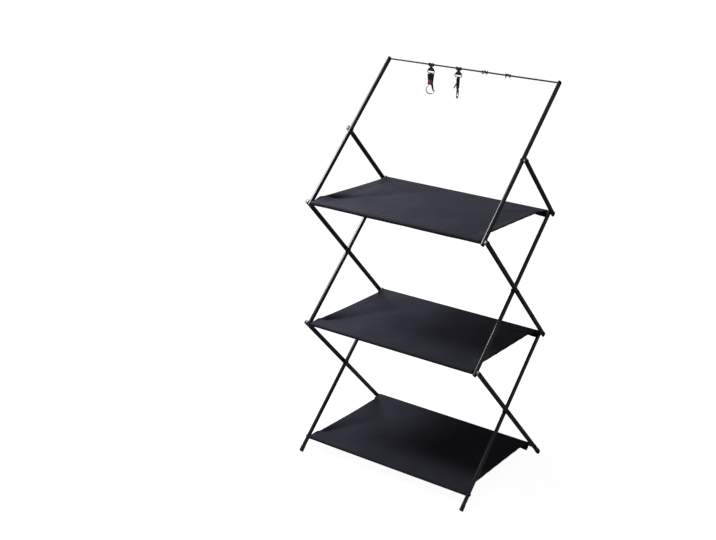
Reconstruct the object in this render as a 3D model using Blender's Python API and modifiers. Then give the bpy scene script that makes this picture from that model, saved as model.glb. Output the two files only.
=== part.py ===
"""Folding camp shelf: three fabric shelves on two scissor side frames, with a hanging cord on top.

Metres, +X to the right, +Y to the back, +Z up. The frame stands open on its four feet.
In each side frame the inner bars lean back as they rise and the outer bars lean forward.
"""
import math

import bmesh
import bpy
from mathutils import Matrix, Vector

for item in list(bpy.data.objects):
    bpy.data.objects.remove(item, do_unlink=True)

# Frame as a whole: from pivot to pivot, open
FRAME_WIDTH = 0.600
SHELF_DEPTH = 0.390
SHELF_PITCH = 0.390
PIVOT_HEIGHT = 0.041
FACE_GAP = 0.0003

# Flat bar tube, closed at its ends
BAR_WIDTH = 0.014
BAR_THICKNESS = 0.009
BAR_CORNER = 0.003
BAR_WALL = 0.001
BAR_END = 0.010
BAR_TOP_END = 0.0065
BOSS_DIAMETER = 0.012
BOSS_HEIGHT = 0.0014

# Caps on the hanger tips and boots on the feet
TIP_CAP_LENGTH = 0.009
BOOT_WALL = 0.0012
BOOT_LENGTH = 0.018
BOOT_END = 0.003
SOLE_CUT = 0.002

# Crossbars and their fasteners
ROD_DIAMETER = 0.010
ROD_WALL = 0.001
THREAD_LENGTH = 0.014
PIN_DIAMETER = 0.005
HEAD_DIAMETER = 0.011
HEAD_HEIGHT = 0.002
SCREW_GRIP = 0.012

# Fabric shelves
SHEET_THICKNESS = 0.001
SLEEVE_END_GAP = 0.003
SLEEVE_DEPTH = 0.030
SLEEVE_SAG = 0.007
EDGE_INSET = 0.009
HEM_DROP = 0.0045
HEM_THICKNESS = 0.002

# Hanging cord, seated in the tip caps, and its two spare loops
CORD_DIAMETER = 0.005
CORD_SEAT = 0.0065
SPARE_LOOP_CORD = 0.0026
SPARE_LOOP_PLACES = (0.0495, 0.1290)
SPARE_LOOP_PITCH = 0.0130
SPARE_LOOP_SPREAD = 0.0030
WIDE_TURNS = (0.0050, 0.0060)
WIDE_SLANTS = (0.0, -0.5)
CLOSE_TURN = 0.0044

# Snap hooks, measured down from the hanging cord
HOOK_PLACES = (-0.1425, -0.0430)
HOOK_TURNS = (math.radians(20), math.radians(-70))
STRAP_WIDTH = 0.010
STRAP_THICKNESS = 0.0014
EYE_DROP = 0.0170
EYE_WIDTH = 0.028
EYE_HEIGHT = 0.009
EYE_WIRE = 0.0026
COLLAR_RADIUS = 0.0036
COLLAR_HEIGHT = 0.0010
STEM_RADIUS = 0.0020
STEM_LENGTH = 0.006
BODY_TOP_WIDTH = 0.0215
BODY_BOTTOM_WIDTH = 0.015
BODY_HEIGHT = 0.0325
BODY_THICKNESS = 0.008
HOOK_WIRE = 0.0038
HOOK_BELLY = 0.0135
HOOK_DROP = 0.030
GATE_HEAD = 0.0024
GATE_LENGTH = 0.0225
GATE_TIP = 0.0015
GATE_THICKNESS = 0.004
NOSE_ANGLE = math.radians(-2)
LEVER_WIDTH = 0.015
LEVER_LENGTH = 0.013
LEVER_BARREL = 0.0014
LEVER_TIP = 0.0010
LEVER_LEAN = math.radians(24)

# Roundness of turned and bent pieces
TURN_STEPS = 12
ARC_STEPS = 6
CORNER_STEPS = 2

# Places worked out from the driving sizes
FRONT = -SHELF_DEPTH / 2
BACK = SHELF_DEPTH / 2
LEVELS = [PIVOT_HEIGHT + row * SHELF_PITCH for row in range(3)]
SPAN = math.hypot(SHELF_DEPTH, SHELF_PITCH)
LEAN_FRONT = math.atan2(SHELF_DEPTH, SHELF_PITCH)
LEAN_BACK = -LEAN_FRONT
INNER_LAYER = FRAME_WIDTH / 2
OUTER_LAYER = INNER_LAYER + BAR_THICKNESS + BOSS_HEIGHT + FACE_GAP
INNER_FACE = INNER_LAYER - BAR_THICKNESS / 2
INNER_OUTSIDE = INNER_LAYER + BAR_THICKNESS / 2
OUTER_INSIDE = OUTER_LAYER - BAR_THICKNESS / 2
OUTER_FACE = OUTER_LAYER + BAR_THICKNESS / 2
PIN_RADIUS = PIN_DIAMETER / 2
HOLE_RADIUS = PIN_RADIUS + FACE_GAP
ROD_RADIUS = ROD_DIAMETER / 2
CORD_RADIUS = CORD_DIAMETER / 2
SIDES = (("left", -1), ("right", 1))
CROSSWISE = math.pi / 2


def pivot(y, z):
    """A point on the frame's middle plane."""
    return Vector((0, y, z))


def outwards(side, x, place):
    """The same point, moved out to one side."""
    return Vector((side * x, place.y, place.z))


BOTTOM_FRONT = pivot(FRONT, LEVELS[0])
BOTTOM_BACK = pivot(BACK, LEVELS[0])
MIDDLE_FRONT = pivot(FRONT, LEVELS[1])
MIDDLE_BACK = pivot(BACK, LEVELS[1])
TOP_FRONT = pivot(FRONT, LEVELS[2])
TOP_BACK = pivot(BACK, LEVELS[2])
LOWER_CROSSING = pivot(0, LEVELS[0] + SHELF_PITCH / 2)
UPPER_CROSSING = pivot(0, LEVELS[1] + SHELF_PITCH / 2)
HANGER_CROSSING = pivot(0, LEVELS[2] + SHELF_PITCH / 2)
CORD_LINE = pivot(BACK, LEVELS[2] + SHELF_PITCH)

shelf_collection = bpy.data.collections.new("folding_camp_shelf")
cutter_collection = bpy.data.collections.new("cutters")
bpy.context.scene.collection.children.link(shelf_collection)
bpy.context.scene.collection.children.link(cutter_collection)


def material(name, colour, roughness, metallic=0.0):
    """A plain surface with one colour."""
    surface = bpy.data.materials.new(name)
    surface.use_nodes = True
    shader = surface.node_tree.nodes["Principled BSDF"]
    shader.inputs["Base Color"].default_value = (*colour, 1.0)
    shader.inputs["Roughness"].default_value = roughness
    shader.inputs["Metallic"].default_value = metallic
    return surface


BLACK_COAT = material("black_coated_tube", (0.012, 0.012, 0.013), 0.42, 0.3)
BLACK_PLASTIC = material("black_plastic", (0.014, 0.014, 0.015), 0.55)
STEEL = material("dark_steel", (0.09, 0.09, 0.10), 0.35, 1.0)
BRIGHT_STEEL = material("bright_steel", (0.62, 0.63, 0.65), 0.25, 1.0)
SLATE_FABRIC = material("slate_fabric", (0.028, 0.031, 0.042), 0.85)
DARK_CORD = material("dark_cord", (0.045, 0.045, 0.050), 0.80)
MAROON = material("maroon_plastic", (0.110, 0.012, 0.030), 0.50)


def body_frame(name, place):
    """An empty on a joint's axis that carries the pieces of one moving body."""
    frame = bpy.data.objects.new(name, None)
    frame.location = place
    frame.empty_display_size = 0.02
    shelf_collection.objects.link(frame)
    return frame


def add_object(name, mesh, surface, frame, place, turn=(0, 0, 0)):
    """One named piece at its place in the world, carried by the frame of its body."""
    piece = bpy.data.objects.new(name, mesh)
    if not mesh.materials:
        mesh.materials.append(surface)
    piece.parent = frame
    piece.location = Vector(place) - frame.location
    piece.rotation_euler = turn
    shelf_collection.objects.link(piece)
    return piece


def combine(piece, mesh, operation):
    """Cut a mesh from a piece, or join it on, in the piece's own coordinates."""
    other = bpy.data.objects.new(piece.name + "_" + operation.lower(), mesh)
    other.parent = piece
    other.hide_render = True
    other.display_type = 'WIRE'
    cutter_collection.objects.link(other)
    change = piece.modifiers.new(operation.lower(), 'BOOLEAN')
    change.operation = operation
    change.solver = 'EXACT'
    change.object = other


def finished(name, work, smooth=False):
    """Turn a bmesh into a mesh whose faces all look outwards."""
    bmesh.ops.remove_doubles(work, verts=work.verts, dist=1e-6)
    bmesh.ops.recalc_face_normals(work, faces=work.faces)
    for face in work.faces:
        face.smooth = smooth
    mesh = bpy.data.meshes.new(name)
    work.to_mesh(mesh)
    work.free()
    return mesh


def block(name, size, corner=0.0, middle=(0, 0, 0)):
    """A block whose upright edges are rounded."""
    work = bmesh.new()
    bmesh.ops.create_cube(work, size=1.0)
    bmesh.ops.scale(work, vec=size, verts=work.verts)
    if corner > 0:
        upright = [e for e in work.edges if abs(e.verts[0].co.z - e.verts[1].co.z) > size[2] / 2]
        bmesh.ops.bevel(work, geom=upright, offset=corner, segments=CORNER_STEPS, profile=0.5, affect='EDGES')
    bmesh.ops.translate(work, vec=middle, verts=work.verts)
    return finished(name, work)


def realised(name, source, matrix=Matrix.Identity(4), smooth=False):
    """The mesh that a curve or a modified object makes; the source is removed."""
    bpy.context.scene.collection.objects.link(source)
    graph = bpy.context.evaluated_depsgraph_get()
    result = bpy.data.meshes.new_from_object(source.evaluated_get(graph))
    bpy.data.objects.remove(source, do_unlink=True)
    work = bmesh.new()
    work.from_mesh(result)
    bmesh.ops.transform(work, matrix=matrix, verts=work.verts)
    return finished(name, work, smooth)


def turned(name, profile, closed=False):
    """A turned piece: (radius, height) points, from the top down the outer side, spun round Z."""
    outline = bpy.data.meshes.new(name + "_profile")
    edges = [(i, i + 1) for i in range(len(profile) - 1)]
    if closed:
        edges.append((len(profile) - 1, 0))
    outline.from_pydata([(radius, 0, height) for radius, height in profile], edges, [])
    source = bpy.data.objects.new(name + "_profile", outline)
    turn = source.modifiers.new("turn", 'SCREW')
    turn.steps = TURN_STEPS
    turn.render_steps = TURN_STEPS
    turn.use_merge_vertices = True
    turn.merge_threshold = 1e-5
    return realised(name, source, smooth=True)


def cylinder(name, radius, top, bottom):
    """A plain turned cylinder."""
    return turned(name, [(0, top), (radius, top), (radius, bottom), (0, bottom)])


FACING_X = Matrix.Rotation(math.pi / 2, 4, 'Z') @ Matrix.Rotation(math.pi / 2, 4, 'X')
FACING_Y = Matrix.Rotation(math.pi / 2, 4, 'X')


def plate(name, loops, thickness, facing):
    """A flat outline with its holes, thickened equally to both sides."""
    data = bpy.data.curves.new(name + "_outline", 'CURVE')
    data.dimensions = '2D'
    data.fill_mode = 'BOTH'
    data.extrude = thickness / 2
    for loop in loops:
        spline = data.splines.new('POLY')
        spline.points.add(len(loop) - 1)
        for point, (right, up) in zip(spline.points, loop):
            point.co = (right, up, 0, 1)
        spline.use_cyclic_u = True
    return realised(name, bpy.data.objects.new(name + "_outline", data), facing)


def wire(name, points, radius, closed=False):
    """A round wire or cord through a list of points."""
    data = bpy.data.curves.new(name + "_path", 'CURVE')
    data.dimensions = '3D'
    data.bevel_depth = radius
    data.bevel_resolution = 1
    data.use_fill_caps = True
    spline = data.splines.new('POLY')
    spline.points.add(len(points) - 1)
    for point, place in zip(spline.points, points):
        point.co = (*place, 1)
    spline.use_cyclic_u = closed
    return realised(name, bpy.data.objects.new(name + "_path", data), smooth=True)


def arc(middle, radius, start, end, steps=ARC_STEPS):
    """Points along an arc, with angles in degrees from the first axis."""
    angles = [math.radians(start + (end - start) * i / steps) for i in range(steps + 1)]
    return [(middle[0] + radius * math.cos(a), middle[1] + radius * math.sin(a)) for a in angles]


def gather(name, parts):
    """One cutter of several solids, each a (mesh, matrix) pair."""
    mesh = bpy.data.meshes.new(name)
    work = bmesh.new()
    for part, matrix in parts:
        copy = part.copy()
        copy.transform(matrix)
        work.from_mesh(copy)
        bpy.data.meshes.remove(copy)
    work.to_mesh(mesh)
    work.free()
    return mesh


# Moving bodies: each one's frame sits on the axis that it turns round
root_frame = body_frame("bottom_shelf_frame", BOTTOM_FRONT)
lower_inner_frame = body_frame("lower_inner_frame", BOTTOM_FRONT)
lower_outer_frame = body_frame("lower_outer_frame", LOWER_CROSSING)
upper_outer_frame = body_frame("upper_outer_frame", MIDDLE_BACK)
upper_inner_frame = body_frame("upper_inner_frame", UPPER_CROSSING)
link_frame = body_frame("short_link_frame", TOP_BACK)
hanger_frame = body_frame("hanger_frame", HANGER_CROSSING)
middle_sheet_frame = body_frame("middle_shelf_frame", MIDDLE_BACK)
top_sheet_frame = body_frame("top_shelf_frame", TOP_BACK)
cord_frame = body_frame("hanging_cord_frame", CORD_LINE)


def bar_pair(name, layer, frame, lean, low, high, holes, bosses=()):
    """The two bars of one kind: closed flat tubes, with cross holes so far up from their frame."""
    middle = (0, 0, (low + high) / 2)
    length = high - low
    bore_size = (BAR_THICKNESS - 2 * BAR_WALL, BAR_WIDTH - 2 * BAR_WALL, length - 2 * BAR_WALL)
    crosswise = Matrix.Rotation(CROSSWISE, 4, 'Y')
    drill = cylinder("drill", HOLE_RADIUS, BAR_THICKNESS, -BAR_THICKNESS)
    drills = [(drill, Matrix.Translation((0, 0, up)) @ crosswise) for up in holes]
    boss = cylinder("boss", BOSS_DIAMETER / 2, BAR_THICKNESS / 2 + BOSS_HEIGHT, BAR_THICKNESS / 2 - BAR_WALL / 2)
    for side_name, side in SIDES:
        outside = block(name, (BAR_THICKNESS, BAR_WIDTH, length), BAR_CORNER, middle)
        place = outwards(side, layer, frame.location)
        bar = add_object(f"{name}_{side_name}", outside, BLACK_COAT, frame, place, (lean, 0, 0))
        if bosses:
            inwards = Matrix.Rotation(-side * CROSSWISE, 4, 'Y')
            raised = [(boss, Matrix.Translation((0, 0, up)) @ inwards) for up in bosses]
            combine(bar, gather("bosses", raised), 'UNION')
        combine(bar, block("bore", bore_size, BAR_CORNER - BAR_WALL, middle), 'DIFFERENCE')
        combine(bar, gather("drills", drills), 'DIFFERENCE')


# Foot boots: a short sleeve over the bar's end, cut level where it stands on the ground
BOOT_HALF_WIDTH = BAR_WIDTH / 2 + FACE_GAP + BOOT_WALL
BOOT_REACH = (PIVOT_HEIGHT + SOLE_CUT - BOOT_HALF_WIDTH * math.sin(LEAN_FRONT)) / math.cos(LEAN_FRONT)
FOOT_REACH = BOOT_REACH - BOOT_END - FACE_GAP


def boots(name, layer, frame, lean, foot_pivot):
    """The two boots of a bar pair, each with its origin on the foot's pivot axis."""
    outside = (BAR_THICKNESS + 2 * (FACE_GAP + BOOT_WALL), 2 * BOOT_HALF_WIDTH, BOOT_LENGTH)
    inside = (BAR_THICKNESS + 2 * FACE_GAP, BAR_WIDTH + 2 * FACE_GAP, BOOT_LENGTH)
    middle = -BOOT_REACH + BOOT_LENGTH / 2
    level = Matrix.Rotation(-lean, 4, 'X')
    below = Matrix.Translation((0, 0, -PIVOT_HEIGHT - BOOT_LENGTH / 2))
    for side_name, side in SIDES:
        shell = block(name, outside, BAR_CORNER + BOOT_WALL, (0, 0, middle))
        place = outwards(side, layer, foot_pivot)
        boot = add_object(f"{name}_{side_name}", shell, BLACK_PLASTIC, frame, place, (lean, 0, 0))
        socket = block("socket", inside, BAR_CORNER + FACE_GAP, (0, 0, middle + BOOT_END))
        combine(boot, socket, 'DIFFERENCE')
        ground = block("ground", (BOOT_LENGTH, 4 * PIVOT_HEIGHT, BOOT_LENGTH))
        combine(boot, gather("ground", [(ground, level @ below)]), 'DIFFERENCE')


# Side frames: inner bars lean back as they rise, outer bars lean forward
TIP_REACH = SPAN / 2 - TIP_CAP_LENGTH / 2
bar_pair("hanger_bar", INNER_LAYER, hanger_frame, LEAN_BACK, -SPAN / 2 - BAR_END,
         TIP_REACH - FACE_GAP, [-SPAN / 2, 0])
bar_pair("short_link", OUTER_LAYER, link_frame, LEAN_FRONT, -BAR_END, SPAN / 2 + BAR_TOP_END,
         [0, SPAN / 2], [0, SPAN / 2])
bar_pair("upper_inner_bar", INNER_LAYER, upper_inner_frame, LEAN_BACK, -SPAN / 2 - BAR_END,
         SPAN / 2 + BAR_TOP_END, [-SPAN / 2, 0, SPAN / 2])
bar_pair("upper_outer_bar", OUTER_LAYER, upper_outer_frame, LEAN_FRONT, -BAR_END, SPAN + BAR_TOP_END,
         [0, SPAN / 2, SPAN], [0, SPAN / 2, SPAN])
bar_pair("lower_inner_bar", INNER_LAYER, lower_inner_frame, LEAN_BACK, -FOOT_REACH, SPAN + BAR_TOP_END,
         [0, SPAN / 2, SPAN])
bar_pair("lower_outer_bar", OUTER_LAYER, lower_outer_frame, LEAN_FRONT, -SPAN / 2 - FOOT_REACH,
         SPAN / 2 + BAR_TOP_END, [-SPAN / 2, 0, SPAN / 2], [0, SPAN / 2])
boots("front_foot", INNER_LAYER, lower_inner_frame, LEAN_BACK, BOTTOM_FRONT)
boots("back_foot", OUTER_LAYER, lower_outer_frame, LEAN_FRONT, BOTTOM_BACK)


def tip_cap(side_name, side):
    """A cap on a hanger's tip, with a blind hole in its inner side for the cord's end."""
    cap = block("hanger_tip", (BAR_THICKNESS, BAR_WIDTH, TIP_CAP_LENGTH), BAR_CORNER)
    piece = add_object(f"hanger_tip_{side_name}", cap, BLACK_PLASTIC, hanger_frame,
                       outwards(side, INNER_LAYER, CORD_LINE), (LEAN_BACK, 0, 0))
    seat_end = CORD_SEAT + FACE_GAP - BAR_THICKNESS / 2
    seat = cylinder("cord_seat", CORD_RADIUS + FACE_GAP, seat_end, -BAR_THICKNESS)
    combine(piece, gather("cord_seat", [(seat, Matrix.Rotation(side * CROSSWISE, 4, 'Y'))]), 'DIFFERENCE')


for tip_side in SIDES:
    tip_cap(*tip_side)


# Crossbars: round tubes between the bars, narrowed at both ends for the screws' threads
def crossbar(name, frame, place, face):
    """A tube that reaches to the bars' inner faces, its origin on its own axis."""
    half = face - FACE_GAP
    thread = half - THREAD_LENGTH
    inside = ROD_RADIUS - ROD_WALL
    narrow = PIN_RADIUS + FACE_GAP
    profile = [(ROD_RADIUS, half), (ROD_RADIUS, -half), (narrow, -half), (narrow, -thread),
               (inside, -thread), (inside, thread), (narrow, thread), (narrow, half)]
    add_object(name, turned(name, profile, closed=True), BLACK_COAT, frame, place, (0, CROSSWISE, 0))


def head_profile():
    """A low domed head whose flat side is at height 0."""
    crown = HEAD_DIAMETER / 2
    return [(0, HEAD_HEIGHT), (crown * 0.6, HEAD_HEIGHT * 0.9), (crown, HEAD_HEIGHT * 0.4), (crown, 0)]


def screws(name, frame, place, head_face, rod_face):
    """The two screws that hold a crossbar between the bars."""
    tip = rod_face - SCREW_GRIP - head_face
    mesh = turned(name, head_profile() + [(PIN_RADIUS, 0), (PIN_RADIUS, tip), (0, tip)])
    for side_name, side in SIDES:
        add_object(f"{name}_{side_name}", mesh, STEEL, frame, outwards(side, head_face, place),
                   (0, side * CROSSWISE, 0))


def rivets(name, frame, place):
    """The two rivets that hold the inner and outer bars together where they cross."""
    grip = INNER_FACE - OUTER_FACE - 2 * FACE_GAP
    crown = HEAD_DIAMETER / 2
    inner_head = [(crown, grip), (crown * 0.7, grip - HEAD_HEIGHT), (0, grip - HEAD_HEIGHT)]
    mesh = turned(name, head_profile() + [(PIN_RADIUS, 0), (PIN_RADIUS, grip)] + inner_head)
    for side_name, side in SIDES:
        add_object(f"{name}_{side_name}", mesh, STEEL, frame, outwards(side, OUTER_FACE + FACE_GAP, place),
                   (0, side * CROSSWISE, 0))


crossbar("bottom_front_rod", root_frame, BOTTOM_FRONT, INNER_FACE)
screws("bottom_front_screw", root_frame, BOTTOM_FRONT, INNER_OUTSIDE + FACE_GAP, INNER_FACE)
crossbar("bottom_back_rod", lower_outer_frame, BOTTOM_BACK, OUTER_INSIDE)
screws("bottom_back_screw", lower_outer_frame, BOTTOM_BACK, OUTER_FACE + FACE_GAP, OUTER_INSIDE)
crossbar("middle_back_rod", lower_inner_frame, MIDDLE_BACK, INNER_FACE)
screws("middle_back_screw", lower_inner_frame, MIDDLE_BACK, OUTER_FACE + FACE_GAP, INNER_FACE)
crossbar("middle_front_rod", upper_inner_frame, MIDDLE_FRONT, INNER_FACE)
screws("middle_front_screw", upper_inner_frame, MIDDLE_FRONT, OUTER_FACE + FACE_GAP, INNER_FACE)
crossbar("top_back_rod", upper_inner_frame, TOP_BACK, INNER_FACE)
screws("top_back_screw", upper_inner_frame, TOP_BACK, OUTER_FACE + FACE_GAP, INNER_FACE)
crossbar("top_front_rod", hanger_frame, TOP_FRONT, INNER_FACE)
screws("top_front_screw", hanger_frame, TOP_FRONT, OUTER_FACE + FACE_GAP, INNER_FACE)
rivets("lower_crossing_rivet", lower_inner_frame, LOWER_CROSSING)
rivets("upper_crossing_rivet", upper_inner_frame, UPPER_CROSSING)
rivets("hanger_rivet", hanger_frame, HANGER_CROSSING)

# Fabric shelves: a flat sheet with a loose sleeve round the crossbar at each end and turned-down side hems
SLEEVE_INSIDE = ROD_RADIUS + FACE_GAP
SLEEVE_OUTSIDE = SLEEVE_INSIDE + SHEET_THICKNESS
SLEEVE_END = INNER_FACE - SLEEVE_END_GAP
SHEET_EDGE = SLEEVE_END - EDGE_INSET
FREE_EDGE = SHELF_DEPTH - 2 * SLEEVE_DEPTH


def under_side(radius, depth, sag):
    """The sleeve's slack under side, from below the crossbar to its seam, as (inward, height) points."""
    turns = [math.pi * i / ARC_STEPS for i in range(1, ARC_STEPS)]
    return [(depth * turn / math.pi, -radius * math.cos(turn) - sag * math.sin(turn)) for turn in turns]


def sleeve_hole(rod_y, inward):
    """The inside of one sleeve: round the crossbar outside it, slack towards the seam."""
    points = arc((0, 0), SLEEVE_INSIDE, 90, 270)
    points += under_side(SLEEVE_INSIDE, SLEEVE_DEPTH - 2 * SHEET_THICKNESS, SLEEVE_SAG - SHEET_THICKNESS)
    points.append((SLEEVE_DEPTH - 4 * SHEET_THICKNESS, SLEEVE_INSIDE))
    return [(rod_y + inward * distance, height) for distance, height in points]


def sleeve_outline(rod_y, inward):
    """The outside of one sleeve, from its top round to its seam."""
    points = arc((0, 0), SLEEVE_OUTSIDE, 90, 270)
    points += under_side(SLEEVE_OUTSIDE, SLEEVE_DEPTH, SLEEVE_SAG)
    points.append((SLEEVE_DEPTH, SLEEVE_INSIDE))
    return [(rod_y + inward * distance, height) for distance, height in points]


def fabric_shelf(name, frame, level):
    """One shelf: the sheet seen from the side, made as wide as the sleeves and trimmed between them."""
    outline = sleeve_outline(FRONT, 1) + sleeve_outline(BACK, -1)[::-1]
    place = pivot(frame.location.y, LEVELS[level])
    mesh = plate(name, [outline], 2 * SLEEVE_END, FACING_X)
    mesh.transform(Matrix.Translation((0, -place.y, 0)))
    sheet = add_object(name, mesh, SLATE_FABRIC, frame, place)
    to_sheet = Matrix.Translation((0, -place.y, 0))
    tunnels = [(plate("tunnel", [sleeve_hole(y, way)], 2 * FRAME_WIDTH, FACING_X), to_sheet)
               for y, way in ((FRONT, 1), (BACK, -1))]
    combine(sheet, gather("tunnels", tunnels), 'DIFFERENCE')
    trim = block("trim", (2 * EDGE_INSET, FREE_EDGE - SHEET_THICKNESS, SLEEVE_DEPTH))
    trims = [(trim, Matrix.Translation((side * (SHEET_EDGE + EDGE_INSET), -place.y, 0))) for _, side in SIDES]
    combine(sheet, gather("trims", trims), 'DIFFERENCE')
    hem = block("hem", (HEM_THICKNESS, FREE_EDGE - 2 * SHEET_THICKNESS, HEM_DROP))
    hem_x = SHEET_EDGE + (SHEET_THICKNESS - HEM_THICKNESS) / 2
    hem_z = SLEEVE_OUTSIDE - (SHEET_THICKNESS + HEM_DROP) / 2
    hems = [(hem, Matrix.Translation((side * hem_x, -place.y, hem_z))) for _, side in SIDES]
    combine(sheet, gather("hems", hems), 'UNION')


fabric_shelf("bottom_sheet", root_frame, 0)
fabric_shelf("middle_sheet", middle_sheet_frame, 1)
fabric_shelf("top_sheet", top_sheet_frame, 2)


# Hanging cord: taut between the tip caps, its ends seated in them
def hanging_cord():
    """The cord as one straight body."""
    reach = INNER_FACE + CORD_SEAT
    add_object("hanging_cord", wire("hanging_cord", [(-reach, 0, 0), (reach, 0, 0)], CORD_RADIUS),
               DARK_CORD, cord_frame, CORD_LINE)


def spare_loop(number, x):
    """A thin cord with a wide and a close turn round the hanging cord, bridged over the top of it."""
    radius = SPARE_LOOP_CORD / 2
    under = radius + FACE_GAP + CORD_RADIUS
    points = []
    for side, reach, slant in ((-1, WIDE_TURNS[number - 1], WIDE_SLANTS[number - 1]), (1, CLOSE_TURN, 0)):
        drop = reach * math.cos(math.radians(15)) - under
        start = 90 if side < 0 else 120
        for step, (y, z) in enumerate(arc((0, -drop), reach, start, start + 330, 11)):
            along = side * SPARE_LOOP_PITCH / 2 + SPARE_LOOP_SPREAD * (step / 11 - 0.5)
            points.append((along + slant * y, y, z))
        if side < 0:
            points.append((0, 0, under / math.cos(math.radians(15))))
    add_object(f"spare_loop_{number}", wire("spare_loop", points, radius), DARK_CORD, cord_frame,
               CORD_LINE + Vector((x, 0, 0)))


hanging_cord()
for loop_number, loop_x in enumerate(SPARE_LOOP_PLACES, start=1):
    spare_loop(loop_number, loop_x)

# Snap hooks: heights of their pieces, told from the cord
EYE_TOP = -EYE_DROP
EYE_BOTTOM = EYE_TOP - EYE_HEIGHT
COLLAR_BOTTOM = EYE_BOTTOM - EYE_WIRE / 2 - COLLAR_HEIGHT
BODY_TOP = COLLAR_BOTTOM - FACE_GAP
BODY_BOTTOM = BODY_TOP - BODY_HEIGHT
GATE_PIVOT = (BODY_BOTTOM_WIDTH / 2 - GATE_HEAD, BODY_BOTTOM + GATE_HEAD + 2 * FACE_GAP)
LEVER_PIVOT = (-BODY_THICKNESS / 2 - LEVER_BARREL - FACE_GAP, BODY_BOTTOM + LEVER_LENGTH)
BOW_MIDDLE = BODY_BOTTOM - HOOK_DROP + HOOK_BELLY


def gate_lean():
    """How far the closed gate leans out, its tip resting against the inside of the bow."""
    tip_to_middle = HOOK_BELLY - HOOK_WIRE / 2 - GATE_TIP - FACE_GAP
    side, up = GATE_PIVOT[0], GATE_PIVOT[1] - BOW_MIDDLE
    far = math.hypot(side, up)
    opening = (far ** 2 + GATE_LENGTH ** 2 - tip_to_middle ** 2) / (2 * far * GATE_LENGTH)
    return math.acos(opening) - math.atan2(side, up)


GATE_LEAN = gate_lean()


def hook_strap(name, frame, place):
    """The flat strap loop that hangs on the cord and carries the eye."""
    loops = []
    for wall in (STRAP_THICKNESS, 0):
        over_cord = arc((0, 0), CORD_RADIUS + FACE_GAP + wall, 0, 180)
        under_eye = arc((0, EYE_TOP), EYE_WIRE / 2 + FACE_GAP + wall, 180, 360)
        loops.append(over_cord + under_eye)
    add_object(name, plate(name, loops, STRAP_WIDTH, FACING_X), DARK_CORD, frame, place)


def hook_eye(name, frame, place):
    """The oblong wire eye, with the collar and stem that the hook swivels on."""
    round_end = EYE_HEIGHT / 2
    shift = EYE_WIDTH / 2 - round_end
    middle = EYE_TOP - round_end
    outline = arc((shift, middle), round_end, -90, 90) + arc((-shift, middle), round_end, 90, 270)
    mesh = wire(name, [(x, 0, z) for x, z in outline], EYE_WIRE / 2, closed=True)
    eye = add_object(name, mesh, BLACK_PLASTIC, frame, place)
    stem_end = COLLAR_BOTTOM - STEM_LENGTH
    stem = turned("stem", [(0, EYE_BOTTOM), (COLLAR_RADIUS, EYE_BOTTOM), (COLLAR_RADIUS, COLLAR_BOTTOM),
                           (STEM_RADIUS, COLLAR_BOTTOM), (STEM_RADIUS, stem_end), (0, stem_end)])
    combine(eye, stem, 'UNION')


def hook_body(name, frame, place, turn):
    """The moulded body: it swivels on the stem and has a notch for the gate's head."""
    top = BODY_TOP_WIDTH / 2
    bottom = BODY_BOTTOM_WIDTH / 2
    notch = GATE_HEAD + 2 * FACE_GAP
    notch_left = GATE_PIVOT[0] - notch
    notch_top = GATE_PIVOT[1] + notch
    outline = [(-top, BODY_TOP), (top, BODY_TOP), (bottom, notch_top), (notch_left, notch_top),
               (notch_left, BODY_BOTTOM), (-bottom, BODY_BOTTOM)]
    body = add_object(name, plate(name, [outline], BODY_THICKNESS, FACING_Y), BLACK_PLASTIC, frame, place, turn)
    depth = BODY_TOP - STEM_LENGTH - FACE_GAP
    combine(body, cylinder("stem_socket", STEM_RADIUS + FACE_GAP, BODY_TOP + STEM_LENGTH, depth), 'DIFFERENCE')


def hook_wire(name, frame, place, turn):
    """The bright hook: down from the body on one side, round its bow, to a nose outside the gate."""
    top = BODY_BOTTOM - FACE_GAP
    start_x = (HOOK_WIRE - BODY_BOTTOM_WIDTH) / 2
    bow = arc((0, BOW_MIDDLE), HOOK_BELLY, 160, 360 + math.degrees(NOSE_ANGLE), 12)
    points = [(start_x, top), (start_x, top - HOOK_WIRE / 2)] + bow
    mesh = wire(name, [(x, 0, z) for x, z in points], HOOK_WIRE / 2)
    add_object(name, mesh, BRIGHT_STEEL, frame, place, turn)


def gate_outline():
    """The gate from the front, told from its own pivot: a round head and a leg that tapers."""
    lean = math.degrees(GATE_LEAN)
    tip = (GATE_LENGTH * math.sin(GATE_LEAN), -GATE_LENGTH * math.cos(GATE_LEAN))
    return arc((0, 0), GATE_HEAD, lean, lean + 180) + arc(tip, GATE_TIP, lean + 180, lean + 360)


def lever_outline():
    """The thumb lever from the side, told from its own pivot: a barrel and a thin tongue."""
    lean = math.degrees(LEVER_LEAN)
    tip = (-LEVER_LENGTH * math.sin(LEVER_LEAN), -LEVER_LENGTH * math.cos(LEVER_LEAN))
    return arc((0, 0), LEVER_BARREL, -lean, 180 - lean) + arc(tip, LEVER_TIP, 180 - lean, 360 - lean)


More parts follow.
